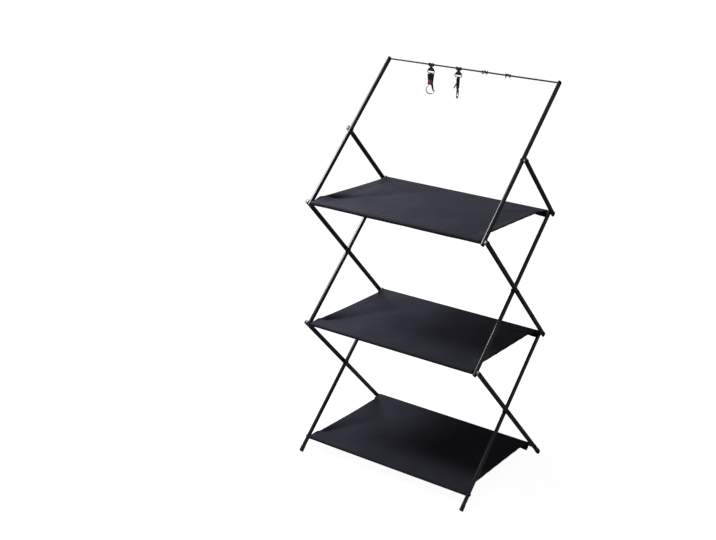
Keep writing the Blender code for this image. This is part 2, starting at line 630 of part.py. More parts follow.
def snap_hook(number, x, swivel):
    """One whole snap hook, its swivelling part turned round the upright axis."""
    name = f"hook_{number}"
    place = CORD_LINE + Vector((x, 0, 0))
    turn = (0, 0, swivel)
    turned_by = Matrix.Rotation(swivel, 4, 'Z')
    loop_frame = body_frame(f"{name}_loop_frame", place)
    hook_strap(f"{name}_strap", loop_frame, place)
    hook_eye(f"{name}_eye", loop_frame, place)
    snap_frame = body_frame(f"{name}_snap_frame", place + Vector((0, 0, COLLAR_BOTTOM)))
    hook_body(f"{name}_body", snap_frame, place, turn)
    hook_wire(f"{name}_wire", snap_frame, place, turn)
    gate_place = place + turned_by @ Vector((GATE_PIVOT[0], 0, GATE_PIVOT[1]))
    gate_frame = body_frame(f"{name}_gate_frame", gate_place)
    gate = plate("gate", [gate_outline()], GATE_THICKNESS, FACING_Y)
    add_object(f"{name}_gate", gate, BLACK_PLASTIC, gate_frame, gate_place, turn)
    lever_place = place + turned_by @ Vector((0, LEVER_PIVOT[0], LEVER_PIVOT[1]))
    lever_frame = body_frame(f"{name}_lever_frame", lever_place)
    lever = plate("lever", [lever_outline()], LEVER_WIDTH, FACING_X)
    add_object(f"{name}_lever", lever, MAROON, lever_frame, lever_place, turn)


for hook_number, (hook_x, hook_turn) in enumerate(zip(HOOK_PLACES, HOOK_TURNS), start=1):
    snap_hook(hook_number, hook_x, hook_turn)
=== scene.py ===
"""Folding camp shelf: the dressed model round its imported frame.

Two side frames of flat bars fold like scissors, six crossbars join them, and three cloth
shelves hang between the crossbars in sewn sleeves. A cord with two snap hooks is drawn taut
between the tops of the frames. Metres, +X to the right, +Y to the back, +Z up.
"""

import math

import bpy
from mathutils import Matrix, Vector


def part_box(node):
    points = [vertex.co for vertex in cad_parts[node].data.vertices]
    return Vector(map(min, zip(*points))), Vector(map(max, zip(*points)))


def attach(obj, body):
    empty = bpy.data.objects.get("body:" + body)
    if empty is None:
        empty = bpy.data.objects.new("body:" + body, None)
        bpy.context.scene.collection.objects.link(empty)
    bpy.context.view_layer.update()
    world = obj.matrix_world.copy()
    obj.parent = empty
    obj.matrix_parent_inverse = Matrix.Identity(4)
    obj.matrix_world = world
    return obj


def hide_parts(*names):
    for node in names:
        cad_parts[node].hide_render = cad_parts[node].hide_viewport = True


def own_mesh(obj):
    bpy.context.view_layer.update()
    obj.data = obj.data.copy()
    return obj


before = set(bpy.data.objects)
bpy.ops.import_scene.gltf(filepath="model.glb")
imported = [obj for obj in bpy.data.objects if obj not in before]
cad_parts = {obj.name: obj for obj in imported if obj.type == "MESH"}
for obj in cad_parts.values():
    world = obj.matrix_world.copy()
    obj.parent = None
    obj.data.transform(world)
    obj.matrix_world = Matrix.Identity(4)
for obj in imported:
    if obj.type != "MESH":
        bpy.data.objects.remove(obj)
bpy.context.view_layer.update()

# Camera
# It stands to the right of the shelf's front and a little above it, and leans slightly, as in
# the photograph.
VIEW_TURN = math.radians(32.4418)
VIEW_TILT = math.radians(18.4718)
VIEW_LEAN = math.radians(2.5154)
VIEW_DISTANCE = 3.51417
VIEW_TARGET = Vector((0, 0, 0.541))
VIEW_MOVE = (-0.00747, 0.11451)
PICTURE_WIDTH = 716
FOCAL_PIXELS = 1141.6657
SHIFT_PIXELS = (65.85, -12.35)
SENSOR_WIDTH = 36

view_forward = Vector((-math.sin(VIEW_TURN) * math.cos(VIEW_TILT),
                       math.cos(VIEW_TURN) * math.cos(VIEW_TILT), -math.sin(VIEW_TILT)))
level_right = Vector((math.cos(VIEW_TURN), math.sin(VIEW_TURN), 0))
level_up = level_right.cross(view_forward)
view_right = math.cos(VIEW_LEAN) * level_right + math.sin(VIEW_LEAN) * level_up
view_up = -math.sin(VIEW_LEAN) * level_right + math.cos(VIEW_LEAN) * level_up
view_axes = Matrix((view_right, view_up, -view_forward)).transposed().to_4x4()
view_place = (VIEW_TARGET - VIEW_DISTANCE * view_forward
              + VIEW_MOVE[0] * view_right + VIEW_MOVE[1] * view_up)
lens = bpy.data.cameras.new("camera")
lens.sensor_width = SENSOR_WIDTH
lens.lens = FOCAL_PIXELS * SENSOR_WIDTH / PICTURE_WIDTH
lens.shift_x = -SHIFT_PIXELS[0] / PICTURE_WIDTH
lens.shift_y = SHIFT_PIXELS[1] / PICTURE_WIDTH
camera = bpy.data.objects.new("camera", lens)
camera.matrix_world = Matrix.Translation(view_place) @ view_axes
bpy.context.scene.collection.objects.link(camera)
bpy.context.scene.camera = camera

# Hanging cord
# A round braided cord of dark yarns, drawn taut between the caps on top of the two hanger bars.
# Its colour darkens in the grooves between the crossed yarns, which is painted shade. Each end
# goes into its cap through a hole in the inner side and is knotted in there, out of sight.
CORD_RADIUS = 0.0025
CORD_BRAID = 0.0125
CORD_YARNS = 4
CORD_RINGS = 760
CORD_SIDES = 24
CORD_YARN = (0.046, 0.047, 0.051)
# Painted shade: the cord's colour down in the grooves between the yarns.
CORD_DARK = (0.018, 0.018, 0.020)
YARN_RELIEF = 0.0004
YARN_SWELL = 0.07
FULL_TURN = 2 * math.pi
SAME_PLACE = 1e-6
STEEP = 0.9


def middle(node):
    """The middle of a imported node's box."""
    low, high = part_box(node)
    return (low + high) / 2


def connect(tree, sockets, values):
    """Sets sockets to plain values, or joins them to other nodes' outputs."""
    for label, value in values.items():
        if isinstance(value, bpy.types.NodeSocket):
            tree.links.new(value, sockets[label])
        else:
            sockets[label].default_value = value


def add_node(tree, kind, inputs=None, **settings):
    """One shader node with its settings and its inputs."""
    made = tree.nodes.new(kind)
    for key, value in settings.items():
        setattr(made, key, value)
    connect(tree, made.inputs, inputs or {})
    return made


def effect_group(name, inputs, outputs):
    """An empty shader group with named sockets, and its inner input and output sockets."""
    tree = bpy.data.node_groups.new(name, 'ShaderNodeTree')
    for label, value in inputs.items():
        kind = 'NodeSocketVector' if value is None else 'NodeSocketFloat'
        socket = tree.interface.new_socket(label, in_out='INPUT', socket_type=kind)
        if value is not None:
            socket.default_value = value
    for label in outputs:
        tree.interface.new_socket(label, in_out='OUTPUT', socket_type='NodeSocketFloat')
    given = tree.nodes.new('NodeGroupInput').outputs
    return tree, given, tree.nodes.new('NodeGroupOutput').inputs


def maths(tree, operation, first, second=0.5):
    """The result of one sum on shader values."""
    return add_node(tree, 'ShaderNodeMath', {0: first, 1: second}, operation=operation).outputs[0]


def times(tree, product, *others):
    """Shader values multiplied with each other."""
    for other in others:
        product = maths(tree, 'MULTIPLY', product, other)
    return product


def ranged(tree, value, low, high, new_low=0.0, new_high=1.0):
    """A value moved smoothly from one range to another."""
    inputs = {0: value, 1: low, 2: high, 3: new_low, 4: new_high}
    return add_node(tree, 'ShaderNodeMapRange', inputs, interpolation_type='SMOOTHSTEP').outputs[0]


def braid_group():
    """Crossed yarns round a cord: U is metres along it and V turns round it."""
    tree, given, result = effect_group(
        "braid", {"Along": None, "Pitch": CORD_BRAID, "Yarns": CORD_YARNS}, ["Height"])
    split = add_node(tree, 'ShaderNodeSeparateXYZ', {0: given["Along"]}).outputs
    run = times(tree, maths(tree, 'DIVIDE', split[0], given["Pitch"]), FULL_TURN * CORD_YARNS)
    turn = times(tree, split[1], given["Yarns"], FULL_TURN)
    phases = [times(tree, maths(tree, way, run, turn), 0.5) for way in ('ADD', 'SUBTRACT')]
    crossed = [maths(tree, 'ABSOLUTE', maths(tree, 'SINE', phase)) for phase in phases]
    connect(tree, result, {"Height": times(tree, *crossed)})
    return tree


def new_material(name, roughness, metallic=0.0, specular=0.5, **plain):
    """A node material with its plain numbers set, its tree and its shader's inputs."""
    made = bpy.data.materials.new(name)
    made.use_nodes = True
    shader = made.node_tree.nodes["Principled BSDF"].inputs
    plain.update(Roughness=roughness, Metallic=metallic, Specular_IOR_Level=specular)
    for label, value in plain.items():
        shader[label.replace("_", " ")].default_value = value
    return made, made.node_tree, shader


def own_points(tree):
    """The object's own coordinates, in metres."""
    return add_node(tree, 'ShaderNodeTexCoord').outputs["Object"]


def cloth_points(tree):
    """The piece's own UV map, in metres along the cloth."""
    return add_node(tree, 'ShaderNodeTexCoord').outputs["UV"]


def mixed(tree, share, first, second):
    """A colour between two others."""
    inputs = {0: share, 6: (*first, 1.0), 7: (*second, 1.0)}
    return add_node(tree, 'ShaderNodeMix', inputs, data_type='RGBA').outputs[2]


def noise(tree, points, scale, detail=3.0, roughness=0.5):
    """Soft noise between 0 and 1."""
    inputs = {"Vector": points, "Scale": scale, "Detail": detail, "Roughness": roughness}
    return add_node(tree, 'ShaderNodeTexNoise', inputs).outputs[0]


def bumped(tree, height, depth, strength):
    """A normal with that relief, depth in metres."""
    inputs = {"Height": height, "Distance": depth, "Strength": strength}
    return add_node(tree, 'ShaderNodeBump', inputs).outputs[0]


BRAID = braid_group()


def cord_material(name, pitch, yarns):
    """Matte crossed yarns, a little lighter here and there, with painted shade in the grooves."""
    made, tree, shader = new_material(name, 0.82, specular=0.25, Sheen_Weight=0.15,
                                      Sheen_Roughness=0.5)
    inputs = {"Along": cloth_points(tree), "Pitch": pitch, "Yarns": yarns}
    braid = add_node(tree, 'ShaderNodeGroup', inputs, node_tree=BRAID).outputs["Height"]
    fibre = noise(tree, own_points(tree), scale=2200, detail=2.0)
    # The colour goes darker down into the braid's grooves: painted shade, with a little random
    # tone.
    share = times(tree, ranged(tree, braid, 0.05, 0.7), ranged(tree, fibre, 0.3, 0.7, 0.55, 1.0))
    relief = maths(tree, 'ADD', braid, times(tree, fibre, 0.25))
    connect(tree, shader, {"Base Color": mixed(tree, share, CORD_DARK, CORD_YARN),
                           "Normal": bumped(tree, relief, YARN_RELIEF, strength=0.6)})
    return made


BRAIDED = cord_material("braided_cord", CORD_BRAID, CORD_YARNS)


def mesh_piece(name, points, faces, material):
    """A smooth piece made straight from its points and faces."""
    mesh = bpy.data.meshes.new(name)
    mesh.from_pydata(points, [], faces)
    mesh.materials.append(material)
    for face in mesh.polygons:
        face.use_smooth = True
    piece = bpy.data.objects.new(name, mesh)
    bpy.context.scene.collection.objects.link(piece)
    return piece


def grid_piece(name, rows, places, material, ring=False, ends=True):
    """A mesh through rows of points, with the cloth's own coordinates as its UV map.

    A ring closes each row on itself, and its two ends are filled where asked for.
    """
    width = len(rows[0])
    steps = width if ring else width - 1
    faces = [(r * width + c, r * width + (c + 1) % width, (r + 1) * width + (c + 1) % width,
              (r + 1) * width + c) for r in range(len(rows) - 1) for c in range(steps)]
    if ring and ends:
        faces.append(tuple(range(width))[::-1])
        faces.append(tuple((len(rows) - 1) * width + c for c in range(width)))
    piece = mesh_piece(name, [point for row in rows for point in row], faces, material)
    layer = piece.data.uv_layers.new(name="cloth")
    for face in piece.data.polygons:
        closing = ring and len(face.vertices) == 4 and face.index % steps == steps - 1
        for corner, vertex in zip(face.loop_indices, face.vertices):
            place = places[vertex // width][vertex % width]
            if closing and vertex % width == 0:
                place = (place[0], 1.0)
            layer.data[corner].uv = place
    return piece


def leave_edit():
    """Ends edit mode, so that the mesh takes up what was done there."""
    if bpy.context.mode != 'OBJECT':
        bpy.ops.object.mode_set(mode='OBJECT')


def select_only(piece):
    """Makes one piece the only one selected, out of edit mode."""
    leave_edit()
    bpy.ops.object.select_all(action='DESELECT')
    piece.select_set(True)
    bpy.context.view_layer.objects.active = piece


def face_outwards(piece):
    """Merges doubled points and turns all faces outwards."""
    select_only(piece)
    bpy.ops.object.mode_set(mode='EDIT')
    bpy.ops.mesh.select_all(action='SELECT')
    bpy.ops.mesh.remove_doubles(threshold=SAME_PLACE)
    bpy.ops.mesh.normals_make_consistent(inside=False)
    leave_edit()
    return piece


def fitted(piece, body, slot, *nodes):
    """Fixes a piece to its moving body and hides the nodes it stands for; slot is not used."""
    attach(piece, body)
    if nodes:
        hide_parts(*nodes)
    return piece


def corded(name, line, radius, material, sides=CORD_SIDES, swell=None):
    """A round cord along close points, with an optional swell(along, turn) of its radius.

    A line that ends where it starts gives a closed ring, its sides turned back so that they
    meet.
    """
    closed = (line[0] - line[-1]).length < SAME_PLACE
    run = [(after - before).normalized() for before, after in zip(line, line[2:])]
    if closed:
        ends = [(line[1] - line[-2]).normalized()] * 2
    else:
        ends = [(line[1] - line[0]).normalized(), (line[-1] - line[-2]).normalized()]
    run = [ends[0], *run, ends[1]]
    stands = abs(run[0].z) > STEEP
    side = first = run[0].cross(Vector((1, 0, 0)) if stands else Vector((0, 0, 1))).normalized()
    carried = []
    for ahead in run:
        side = (side - side.dot(ahead) * ahead).normalized()
        carried.append(side)
    miss = math.atan2(first.dot(run[-1].cross(side)), first.dot(side)) if closed else 0.0
    rows, places, along = [], [], 0.0
    for i, point in enumerate(line):
        side = Matrix.Rotation(miss * i / (len(line) - 1), 3, run[i]) @ carried[i]
        other = run[i].cross(side)
        if i:
            along += (point - line[i - 1]).length
        row = []
        for k in range(sides):
            turn = FULL_TURN * k / sides
            reach = radius * (swell(along, k / sides) if swell else 1.0)
            row.append(point + reach * (math.cos(turn) * side + math.sin(turn) * other))
        rows.append(row)
        places.append([(along, k / sides) for k in range(sides)])
    return face_outwards(grid_piece(name, rows, places, material, ring=True, ends=not closed))


def braid_swell(along, turn):
    """How far the crossed yarns stand out."""
    run = FULL_TURN * CORD_YARNS * along / CORD_BRAID
    around = FULL_TURN * CORD_YARNS * turn
    crossed = abs(math.sin((run + around) / 2)) * abs(math.sin((run - around) / 2))
    return 1 - YARN_SWELL + YARN_SWELL * crossed * math.sqrt(2)


cord_low, cord_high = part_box("hanging_cord")
cord_line = (cord_low + cord_high) / 2
cord_run = [Vector((cord_low.x + (cord_high.x - cord_low.x) * i / CORD_RINGS, cord_line.y,
                    cord_line.z)) for i in range(CORD_RINGS + 1)]
hanging_cord = corded("hanging_cord_braid", cord_run, CORD_RADIUS, BRAIDED, swell=braid_swell)
fitted(hanging_cord, "cord", "cord", "hanging_cord")

# Spare loops
# Two short thin cords of the same yarns, kept on the hanging cord for more hooks. Each goes round
# it in a wide and a close turn, with a bridge between them over the top of it.
LOOP_RADIUS = 0.0013
LOOP_BRAID = 0.008
LOOP_YARNS = 3
LOOP_SIDES = 12
LOOP_PITCH = 0.0130
LOOP_SPREAD = 0.0030
LOOP_CLEARANCE = 0.0003
TURN_START, BRIDGE_START, BRIDGE_END, TURN_END, DEGREE_STEP = 90, 420, 480, 810, 6
WIDE_TURNS = ((0.0050, 0.0), (0.0060, -0.5))
CLOSE_TURN = 0.0044
THIN_CORD = cord_material("thin_cord", LOOP_BRAID, LOOP_YARNS)


def eased(low, high, value):
    """0 before low, 1 after high, and smooth between them."""
    share = min(1.0, max(0.0, (value - low) / (high - low)))
    return share * share * (3 - 2 * share)


def spare_loop(number, wide_turn, wide_slant):
    """Nearly two turns of thin cord with a bridge between them, over the hanging cord's top."""
    node = f"spare_loop_{number}"
    place = Vector((middle(node).x, cord_line.y, cord_line.z))
    line = []
    for turned in range(TURN_START, TURN_END + 1, DEGREE_STEP):
        over = eased(BRIDGE_START, BRIDGE_END, turned)
        reach = wide_turn + (CLOSE_TURN - wide_turn) * over
        across, up = math.cos(math.radians(turned)), math.sin(math.radians(turned))
        turn_begun = TURN_START if turned < (BRIDGE_START + BRIDGE_END) / 2 else BRIDGE_END
        spread = (turned - turn_begun) / (BRIDGE_START - TURN_START) - 0.5
        along = LOOP_PITCH * (over - 0.5) + LOOP_SPREAD * spread * abs(1 - 2 * over)
        slant = wide_slant * (1 - over)
        drop = reach - LOOP_RADIUS - LOOP_CLEARANCE - CORD_RADIUS
        line.append(place + Vector((along + slant * reach * across, reach * across,
                                    reach * up - drop)))
    loop = corded(f"spare_cord_{number}", line, LOOP_RADIUS, THIN_CORD, LOOP_SIDES)
    fitted(loop, "cord", "cord", node)


for number, (wide_turn, wide_slant) in enumerate(WIDE_TURNS, start=1):
    spare_loop(number, wide_turn, wide_slant)

# Side frame bars
# Twelve flat oval aluminium tubes with a satin black coat. The inner bars lean back and the
# outer bars forward. Each tube is cut square, and a moulded plug with a thin flange closes each
# end that has no foot or cap.
BAR_THICKNESS = 0.009
BAR_WIDTH = 0.014
BAR_CORNER = 0.0036
BAR_WALL = 0.001
BAR_END = 0.010
BAR_TOP_END = 0.0065
BORE_DEPTH = 0.012
PLUG_FLANGE = 0.0015
WASHER_THICKNESS = 0.0014
PLUG_ROUNDING = 0.0006
PLUG_STUB = 0.8 * BORE_DEPTH
PLUG_CLEARANCE = 0.0001
COAT_COLOUR = (0.0065, 0.0065, 0.0070)
COAT_WORN = (0.045, 0.045, 0.047)
PLASTIC_COLOUR = (0.0085, 0.0085, 0.0090)
PLASTIC_WORN = (0.03, 0.03, 0.032)
GLOSS_CHANGE = 0.05
GRAIN_STRENGTH = 0.5
SQUARE_ON = 0.9


def grain_group():
    """Fine moulded or sprayed grain on any piece, with a slower change of gloss."""
    tree, given, result = effect_group("fine_grain", {"Point": None, "Scale": 900.0},
                                       ["Height", "Gloss"])
    fine = noise(tree, given["Point"], given["Scale"], detail=4.0, roughness=0.6)
    connect(tree, result, {"Height": fine, "Gloss": noise(tree, given["Point"], scale=24.0)})
    return tree


def wear_group():
    """Rubbed corners: a mask that follows sharp edges, broken up by noise."""
    tree, given, result = effect_group("edge_wear", {"Point": None, "Amount": 0.5}, ["Mask"])
    edge = ranged(tree, add_node(tree, 'ShaderNodeNewGeometry').outputs["Pointiness"], 0.52, 0.62)
    patches = noise(tree, given["Point"], scale=130.0, detail=4.0, roughness=0.7)
    patchy = ranged(tree, patches, 0.45, 0.75)
    connect(tree, result, {"Mask": times(tree, edge, patchy, given["Amount"])})
    return tree


GRAIN = grain_group()
WEAR = wear_group()


def hard_material(name, colour, worn, roughness, grain, depth, wear, metallic=0.0, specular=0.5):
    """A coated, moulded or metal surface with fine grain, uneven gloss and rubbed corners."""
    made, tree, shader = new_material(name, roughness, metallic, specular)
    points = own_points(tree)
    grained = add_node(tree, 'ShaderNodeGroup', {"Point": points, "Scale": grain},
                       node_tree=GRAIN).outputs
    rubbed = add_node(tree, 'ShaderNodeGroup', {"Point": points, "Amount": wear},
                      node_tree=WEAR).outputs
    gloss = ranged(tree, grained["Gloss"], 0.3, 0.7, roughness - GLOSS_CHANGE,
                   roughness + GLOSS_CHANGE)
    connect(tree, shader, {"Base Color": mixed(tree, rubbed["Mask"], colour, worn),
                           "Roughness": gloss,
                           "Normal": bumped(tree, grained["Height"], depth, GRAIN_STRENGTH)})
    return made


COAT = hard_material("satin_black_coat", COAT_COLOUR, COAT_WORN, roughness=0.19, grain=1500.0,
                     depth=0.000008, wear=0.15, specular=0.42)
PLASTIC = hard_material("moulded_black", PLASTIC_COLOUR, PLASTIC_WORN, roughness=0.52,
                        grain=2200.0, depth=0.00012, wear=0.10, specular=0.08)
GLOSSY_PLASTIC = hard_material("glossy_black", PLASTIC_COLOUR, PLASTIC_WORN, roughness=0.24,
                               grain=2200.0, depth=0.00001, wear=0.10, specular=0.50)


def pick(piece, edges=None, faces=None):
    """Goes into edit mode with only those edges or faces selected that pass a test."""
    select_only(piece)
    bpy.ops.object.mode_set(mode='EDIT')
    bpy.ops.mesh.select_mode(type='EDGE' if edges else 'FACE')
    bpy.ops.mesh.select_all(action='DESELECT')
    leave_edit()
    mesh = piece.data
    if edges:
        for edge in mesh.edges:
            edge.select = edges(*(mesh.vertices[v].co for v in edge.vertices))
    if faces:
        for face in mesh.polygons:
            face.select = faces(face.center, face.normal)
    bpy.ops.object.mode_set(mode='EDIT')


def upright(length):
    """A test for edges that stand, in a block of that length."""
    return lambda a, b: abs(a.z - b.z) > length / 2


def rim_at(height):
    """A test for the edges that run round at one height."""
    return lambda a, b: abs(a.z - height) < SAME_PLACE and abs(b.z - height) < SAME_PLACE


def face_at(height, up):
    """A test for the flat face at one height, up 1 or -1."""
    return lambda at, normal: abs(at.z - height) < SAME_PLACE and normal.z * up > SQUARE_ON


def block_piece(name, size, corner, segments=5):
    """An upright block in the middle of the scene, its four standing edges rounded."""
    leave_edit()
    bpy.ops.object.select_all(action='DESELECT')
    bpy.ops.mesh.primitive_cube_add(size=1)
    piece = bpy.context.object
    piece.name = name
    piece.scale = size
    bpy.ops.object.transform_apply(location=False, rotation=False, scale=True)
    pick(piece, edges=upright(size[2]))
    bpy.ops.mesh.bevel(offset=corner, segments=segments)
    return piece


def push(distance):
    """Extrudes the selected faces straight up, or down if the distance is negative."""
    bpy.ops.mesh.extrude_region_move(TRANSFORM_OT_translate={"value": (0, 0, distance)})


def round_rim(piece, height, offset, segments=3):
    """Rounds the rim at one height."""
    pick(piece, edges=rim_at(height))
    bpy.ops.mesh.bevel(offset=offset, segments=segments)


def sink(piece, height, up, wall, depth):
    """Leaves a wall round the flat face at one height, and moves the rest of the face."""
    pick(piece, faces=face_at(height, up))
    bpy.ops.mesh.inset(thickness=wall)
    push(depth)


def finish_piece(piece, material, angle=35):
    """Gives a modelled piece its finish and smooth shading up to an angle."""
    select_only(piece)
    piece.data.materials.clear()
    piece.data.materials.append(material)
    bpy.ops.object.shade_smooth_by_angle(angle=math.radians(angle))
    return piece


def shifted(piece, matrix):
    """Moves a piece's mesh; its own origin stays at the scene's."""
    select_only(piece)
    piece.data.transform(matrix)
    return piece


def raised(height):
    """The matrix that moves a piece straight up."""
    return Matrix.Translation((0, 0, height))


def copied(pattern, name, matrix):
    """A copy with its own mesh, put in its place; its own origin stays at the scene's."""
    copy = bpy.data.objects.new(name, pattern.data.copy())
    copy.data.transform(matrix)
    bpy.context.scene.collection.objects.link(copy)
    return copy


def put_away(*patterns):
    """Removes patterns once all their copies are made."""
    for pattern in patterns:
        bpy.data.objects.remove(pattern, do_unlink=True)


def both_sides(pattern, label, body, slot, node, place):
    """Copies a pattern to the left and the right, where place(side) puts it."""
    for side_name, side in (("left", -1), ("right", 1)):
        piece = copied(pattern, f"{label}_{side_name}", place(side))
        fitted(piece, body, slot, *([f"{node}_{side_name}"] if node else []))


def tube_pattern(length):
    """A flat tube round the middle of the scene, its walls showing at both open ends."""
    tube = block_piece("tube", (BAR_THICKNESS, BAR_WIDTH, length), BAR_CORNER)
    for end in (1, -1):
        sink(tube, end * length / 2, end, BAR_WALL, -end * BORE_DEPTH)
    return finish_piece(tube, COAT)


def plug_pattern():
    """An end plug, flange up: its flange's lower face is at height 0 and a stub hangs under it."""
    plug = block_piece("plug", (BAR_THICKNESS, BAR_WIDTH, PLUG_FLANGE), BAR_CORNER)
    sink(plug, -PLUG_FLANGE / 2, -1, BAR_WALL + PLUG_CLEARANCE, -PLUG_STUB)
    round_rim(plug, PLUG_FLANGE / 2, PLUG_ROUNDING)
    return finish_piece(shifted(plug, raised(PLUG_FLANGE / 2)), GLOSSY_PLASTIC)


LEAN_BACK = -math.pi / 4
LEAN_FRONT = math.pi / 4
front_y = middle("bottom_front_rod").y
back_y = middle("bottom_back_rod").y
levels = [middle(f"{shelf}_front_rod").z for shelf in ("bottom", "middle", "top")]
half_pitch = (levels[1] - levels[0]) / 2
lower_crossing, upper_crossing, hanger_crossing = (
    Vector((0, 0, level + half_pitch)) for level in levels)
half_span = math.hypot(back_y, half_pitch)
inner_layer = abs(middle("lower_inner_bar_left").x)
outer_layer = abs(middle("short_link_left").x) + WASHER_THICKNESS / 2


def along_bar(side, layer, pivot, lean):
    """The matrix that puts a piece modelled upright on a bar's pivot, along that bar."""
    place = Vector((side * layer, pivot.y, pivot.z))
    return Matrix.Translation(place) @ Matrix.Rotation(lean, 4, 'X')


plug_up = plug_pattern()


def bar_pair(kind, body, layer, lean, pivot, low, high, low_plug=True, high_plug=True):
    """Both bars of one kind with their end plugs, from low to high along the bar from its pivot."""
    low_cut = low + PLUG_FLANGE if low_plug else low
    high_cut = high - PLUG_FLANGE if high_plug else high
    tube = tube_pattern(high_cut - low_cut)

    def on_bar(matrix):
        return lambda side: along_bar(side, layer, pivot, lean) @ matrix

    both_sides(tube, f"{kind}_tube", body, "tube_coat", kind,
               on_bar(raised((high_cut + low_cut) / 2)))
    if high_plug:
        both_sides(plug_up, f"{kind}_upper_plug", body, "black_plastic", None,
                   on_bar(raised(high_cut)))
    if low_plug:
        both_sides(plug_up, f"{kind}_lower_plug", body, "black_plastic", None,
                   on_bar(raised(low_cut) @ Matrix.Rotation(math.pi, 4, 'X')))
    put_away(tube)


TIP_CAP = 0.009
CAP_GAP = 0.0003
FOOT_REACH = 0.0490
bar_pair("hanger_bar", "hanger", inner_layer, LEAN_BACK, hanger_crossing,
         -half_span - BAR_END, half_span - TIP_CAP / 2 - CAP_GAP, high_plug=False)
bar_pair("short_link", "short_links", outer_layer, LEAN_FRONT, hanger_crossing,
         -half_span - BAR_END, BAR_TOP_END)
for kind, layer, lean in (("inner", inner_layer, LEAN_BACK), ("outer", outer_layer, LEAN_FRONT)):
    bar_pair(f"upper_{kind}_bar", f"upper_{kind}_frame", layer, lean, upper_crossing,
             -half_span - BAR_END, half_span + BAR_TOP_END)
    bar_pair(f"lower_{kind}_bar", f"lower_{kind}_frame", layer, lean, lower_crossing,
             -half_span - FOOT_REACH, half_span + BAR_TOP_END, low_plug=False)
put_away(plug_up)

# Washers
# Fourteen black nylon rings, one between the bars at each pivot of the side frames. They keep
# the coats from rubbing on each other.
WASHER_RADIUS = 0.006
WASHER_HOLE = 0.0029
WASHER_ROUNDING = 0.0003
NYLON = hard_material("black_nylon", (0.018, 0.018, 0.019), (0.05, 0.05, 0.05), roughness=0.48,
                      grain=1800.0, depth=0.00008, wear=0.2, specular=0.4)


def round_piece(name, radius, height, sides=40):
    """An upright cylinder that stands on height 0."""
    leave_edit()
    bpy.ops.object.select_all(action='DESELECT')
    bpy.ops.mesh.primitive_cylinder_add(vertices=sides, radius=radius, depth=height,
                                        location=(0, 0, height / 2))
    piece = bpy.context.object
    piece.name = name
    bpy.ops.object.transform_apply(location=True, rotation=True, scale=True)
    return piece


def washer_pattern():
    """A flat ring with rounded rims."""
    ring = round_piece("washer", WASHER_RADIUS, WASHER_THICKNESS)
    for height, up in ((WASHER_THICKNESS, 1), (0, -1)):
        round_rim(ring, height, WASHER_ROUNDING, segments=2)
    pick(ring, faces=lambda at, normal: face_at(WASHER_THICKNESS, 1)(at, normal)
         or face_at(0, -1)(at, normal))
    bpy.ops.mesh.inset(thickness=WASHER_RADIUS - WASHER_ROUNDING - WASHER_HOLE)
    bpy.ops.mesh.bridge_edge_loops()
    return finish_piece(ring, NYLON)


bottom_front, middle_front, top_front = (Vector((0, front_y, level)) for level in levels)
bottom_back, middle_back, top_back = (Vector((0, back_y, level)) for level in levels)


def facing_out(side, x, pivot):
    """The matrix that turns an upright piece outwards at a pivot, its foot at x from the middle."""
    place = Matrix.Translation((side * x, pivot.y, pivot.z))
    return place @ Matrix.Rotation(side * math.pi / 2, 4, 'Y')


washer = washer_pattern()
washer_x = outer_layer - BAR_THICKNESS / 2 - WASHER_THICKNESS
for body, label, pivot in (
        ("short_links", "top_back", top_back),
        ("short_links", "hanger_crossing", hanger_crossing),
        ("upper_outer_frame", "middle_back", middle_back),
        ("upper_outer_frame", "upper_crossing", upper_crossing),
        ("upper_outer_frame", "top_front", top_front),
        ("lower_outer_frame", "middle_front", middle_front),
        ("lower_outer_frame", "lower_crossing", lower_crossing)):
    both_sides(washer, f"{label}_washer", body, "black_plastic", None,
               lambda side: facing_out(side, washer_x, pivot))
put_away(washer)

# Screws and rivets
# Steel with a dark finish. A button-head screw with a hexagon socket holds each end of a
# crossbar, and a rivet with a rolled head holds the two bars at each crossing.
HEAD_RADIUS = 0.0055
HEAD_HEIGHT = 0.002
HEAD_ROUNDING = 0.0014
HEAD_EDGE = 0.0002
SHANK_RADIUS = 0.0025
SCREW_SHANK = 0.012
SOCKET_RADIUS = 0.0019
SOCKET_DEPTH = 0.0013
RIVET_ROUNDING = 0.0016
RIVET_ROLL = 0.0012
RIVET_DISH = 0.0006
RIVET_TAIL_ROUNDING = 0.0015
DARK_STEEL = hard_material("dark_steel", (0.020, 0.020, 0.022), (0.08, 0.08, 0.085),
                           roughness=0.45, grain=1600.0, depth=0.00004, wear=0.5, metallic=1.0)


def cut_from(piece, cutter):
    """Cuts another piece's shape out of this one."""
    select_only(piece)
    change = piece.modifiers.new("cut", 'BOOLEAN')
    change.object = cutter
    change.solver = 'EXACT'
    bpy.ops.object.modifier_apply(modifier=change.name)
    put_away(cutter)


def screw_pattern():
    """A screw, head up, its head's underside at height 0."""
    screw = round_piece("screw", HEAD_RADIUS, HEAD_HEIGHT)
    round_rim(screw, HEAD_HEIGHT, HEAD_ROUNDING, segments=5)
    round_rim(screw, 0, HEAD_EDGE, segments=1)
    sink(screw, 0, -1, HEAD_RADIUS - HEAD_EDGE - SHANK_RADIUS, -SCREW_SHANK)
    socket = round_piece("socket", SOCKET_RADIUS, SOCKET_DEPTH * 2, sides=6)
    cut_from(screw, shifted(socket, raised(HEAD_HEIGHT - SOCKET_DEPTH)))
    return finish_piece(screw, DARK_STEEL, angle=30)


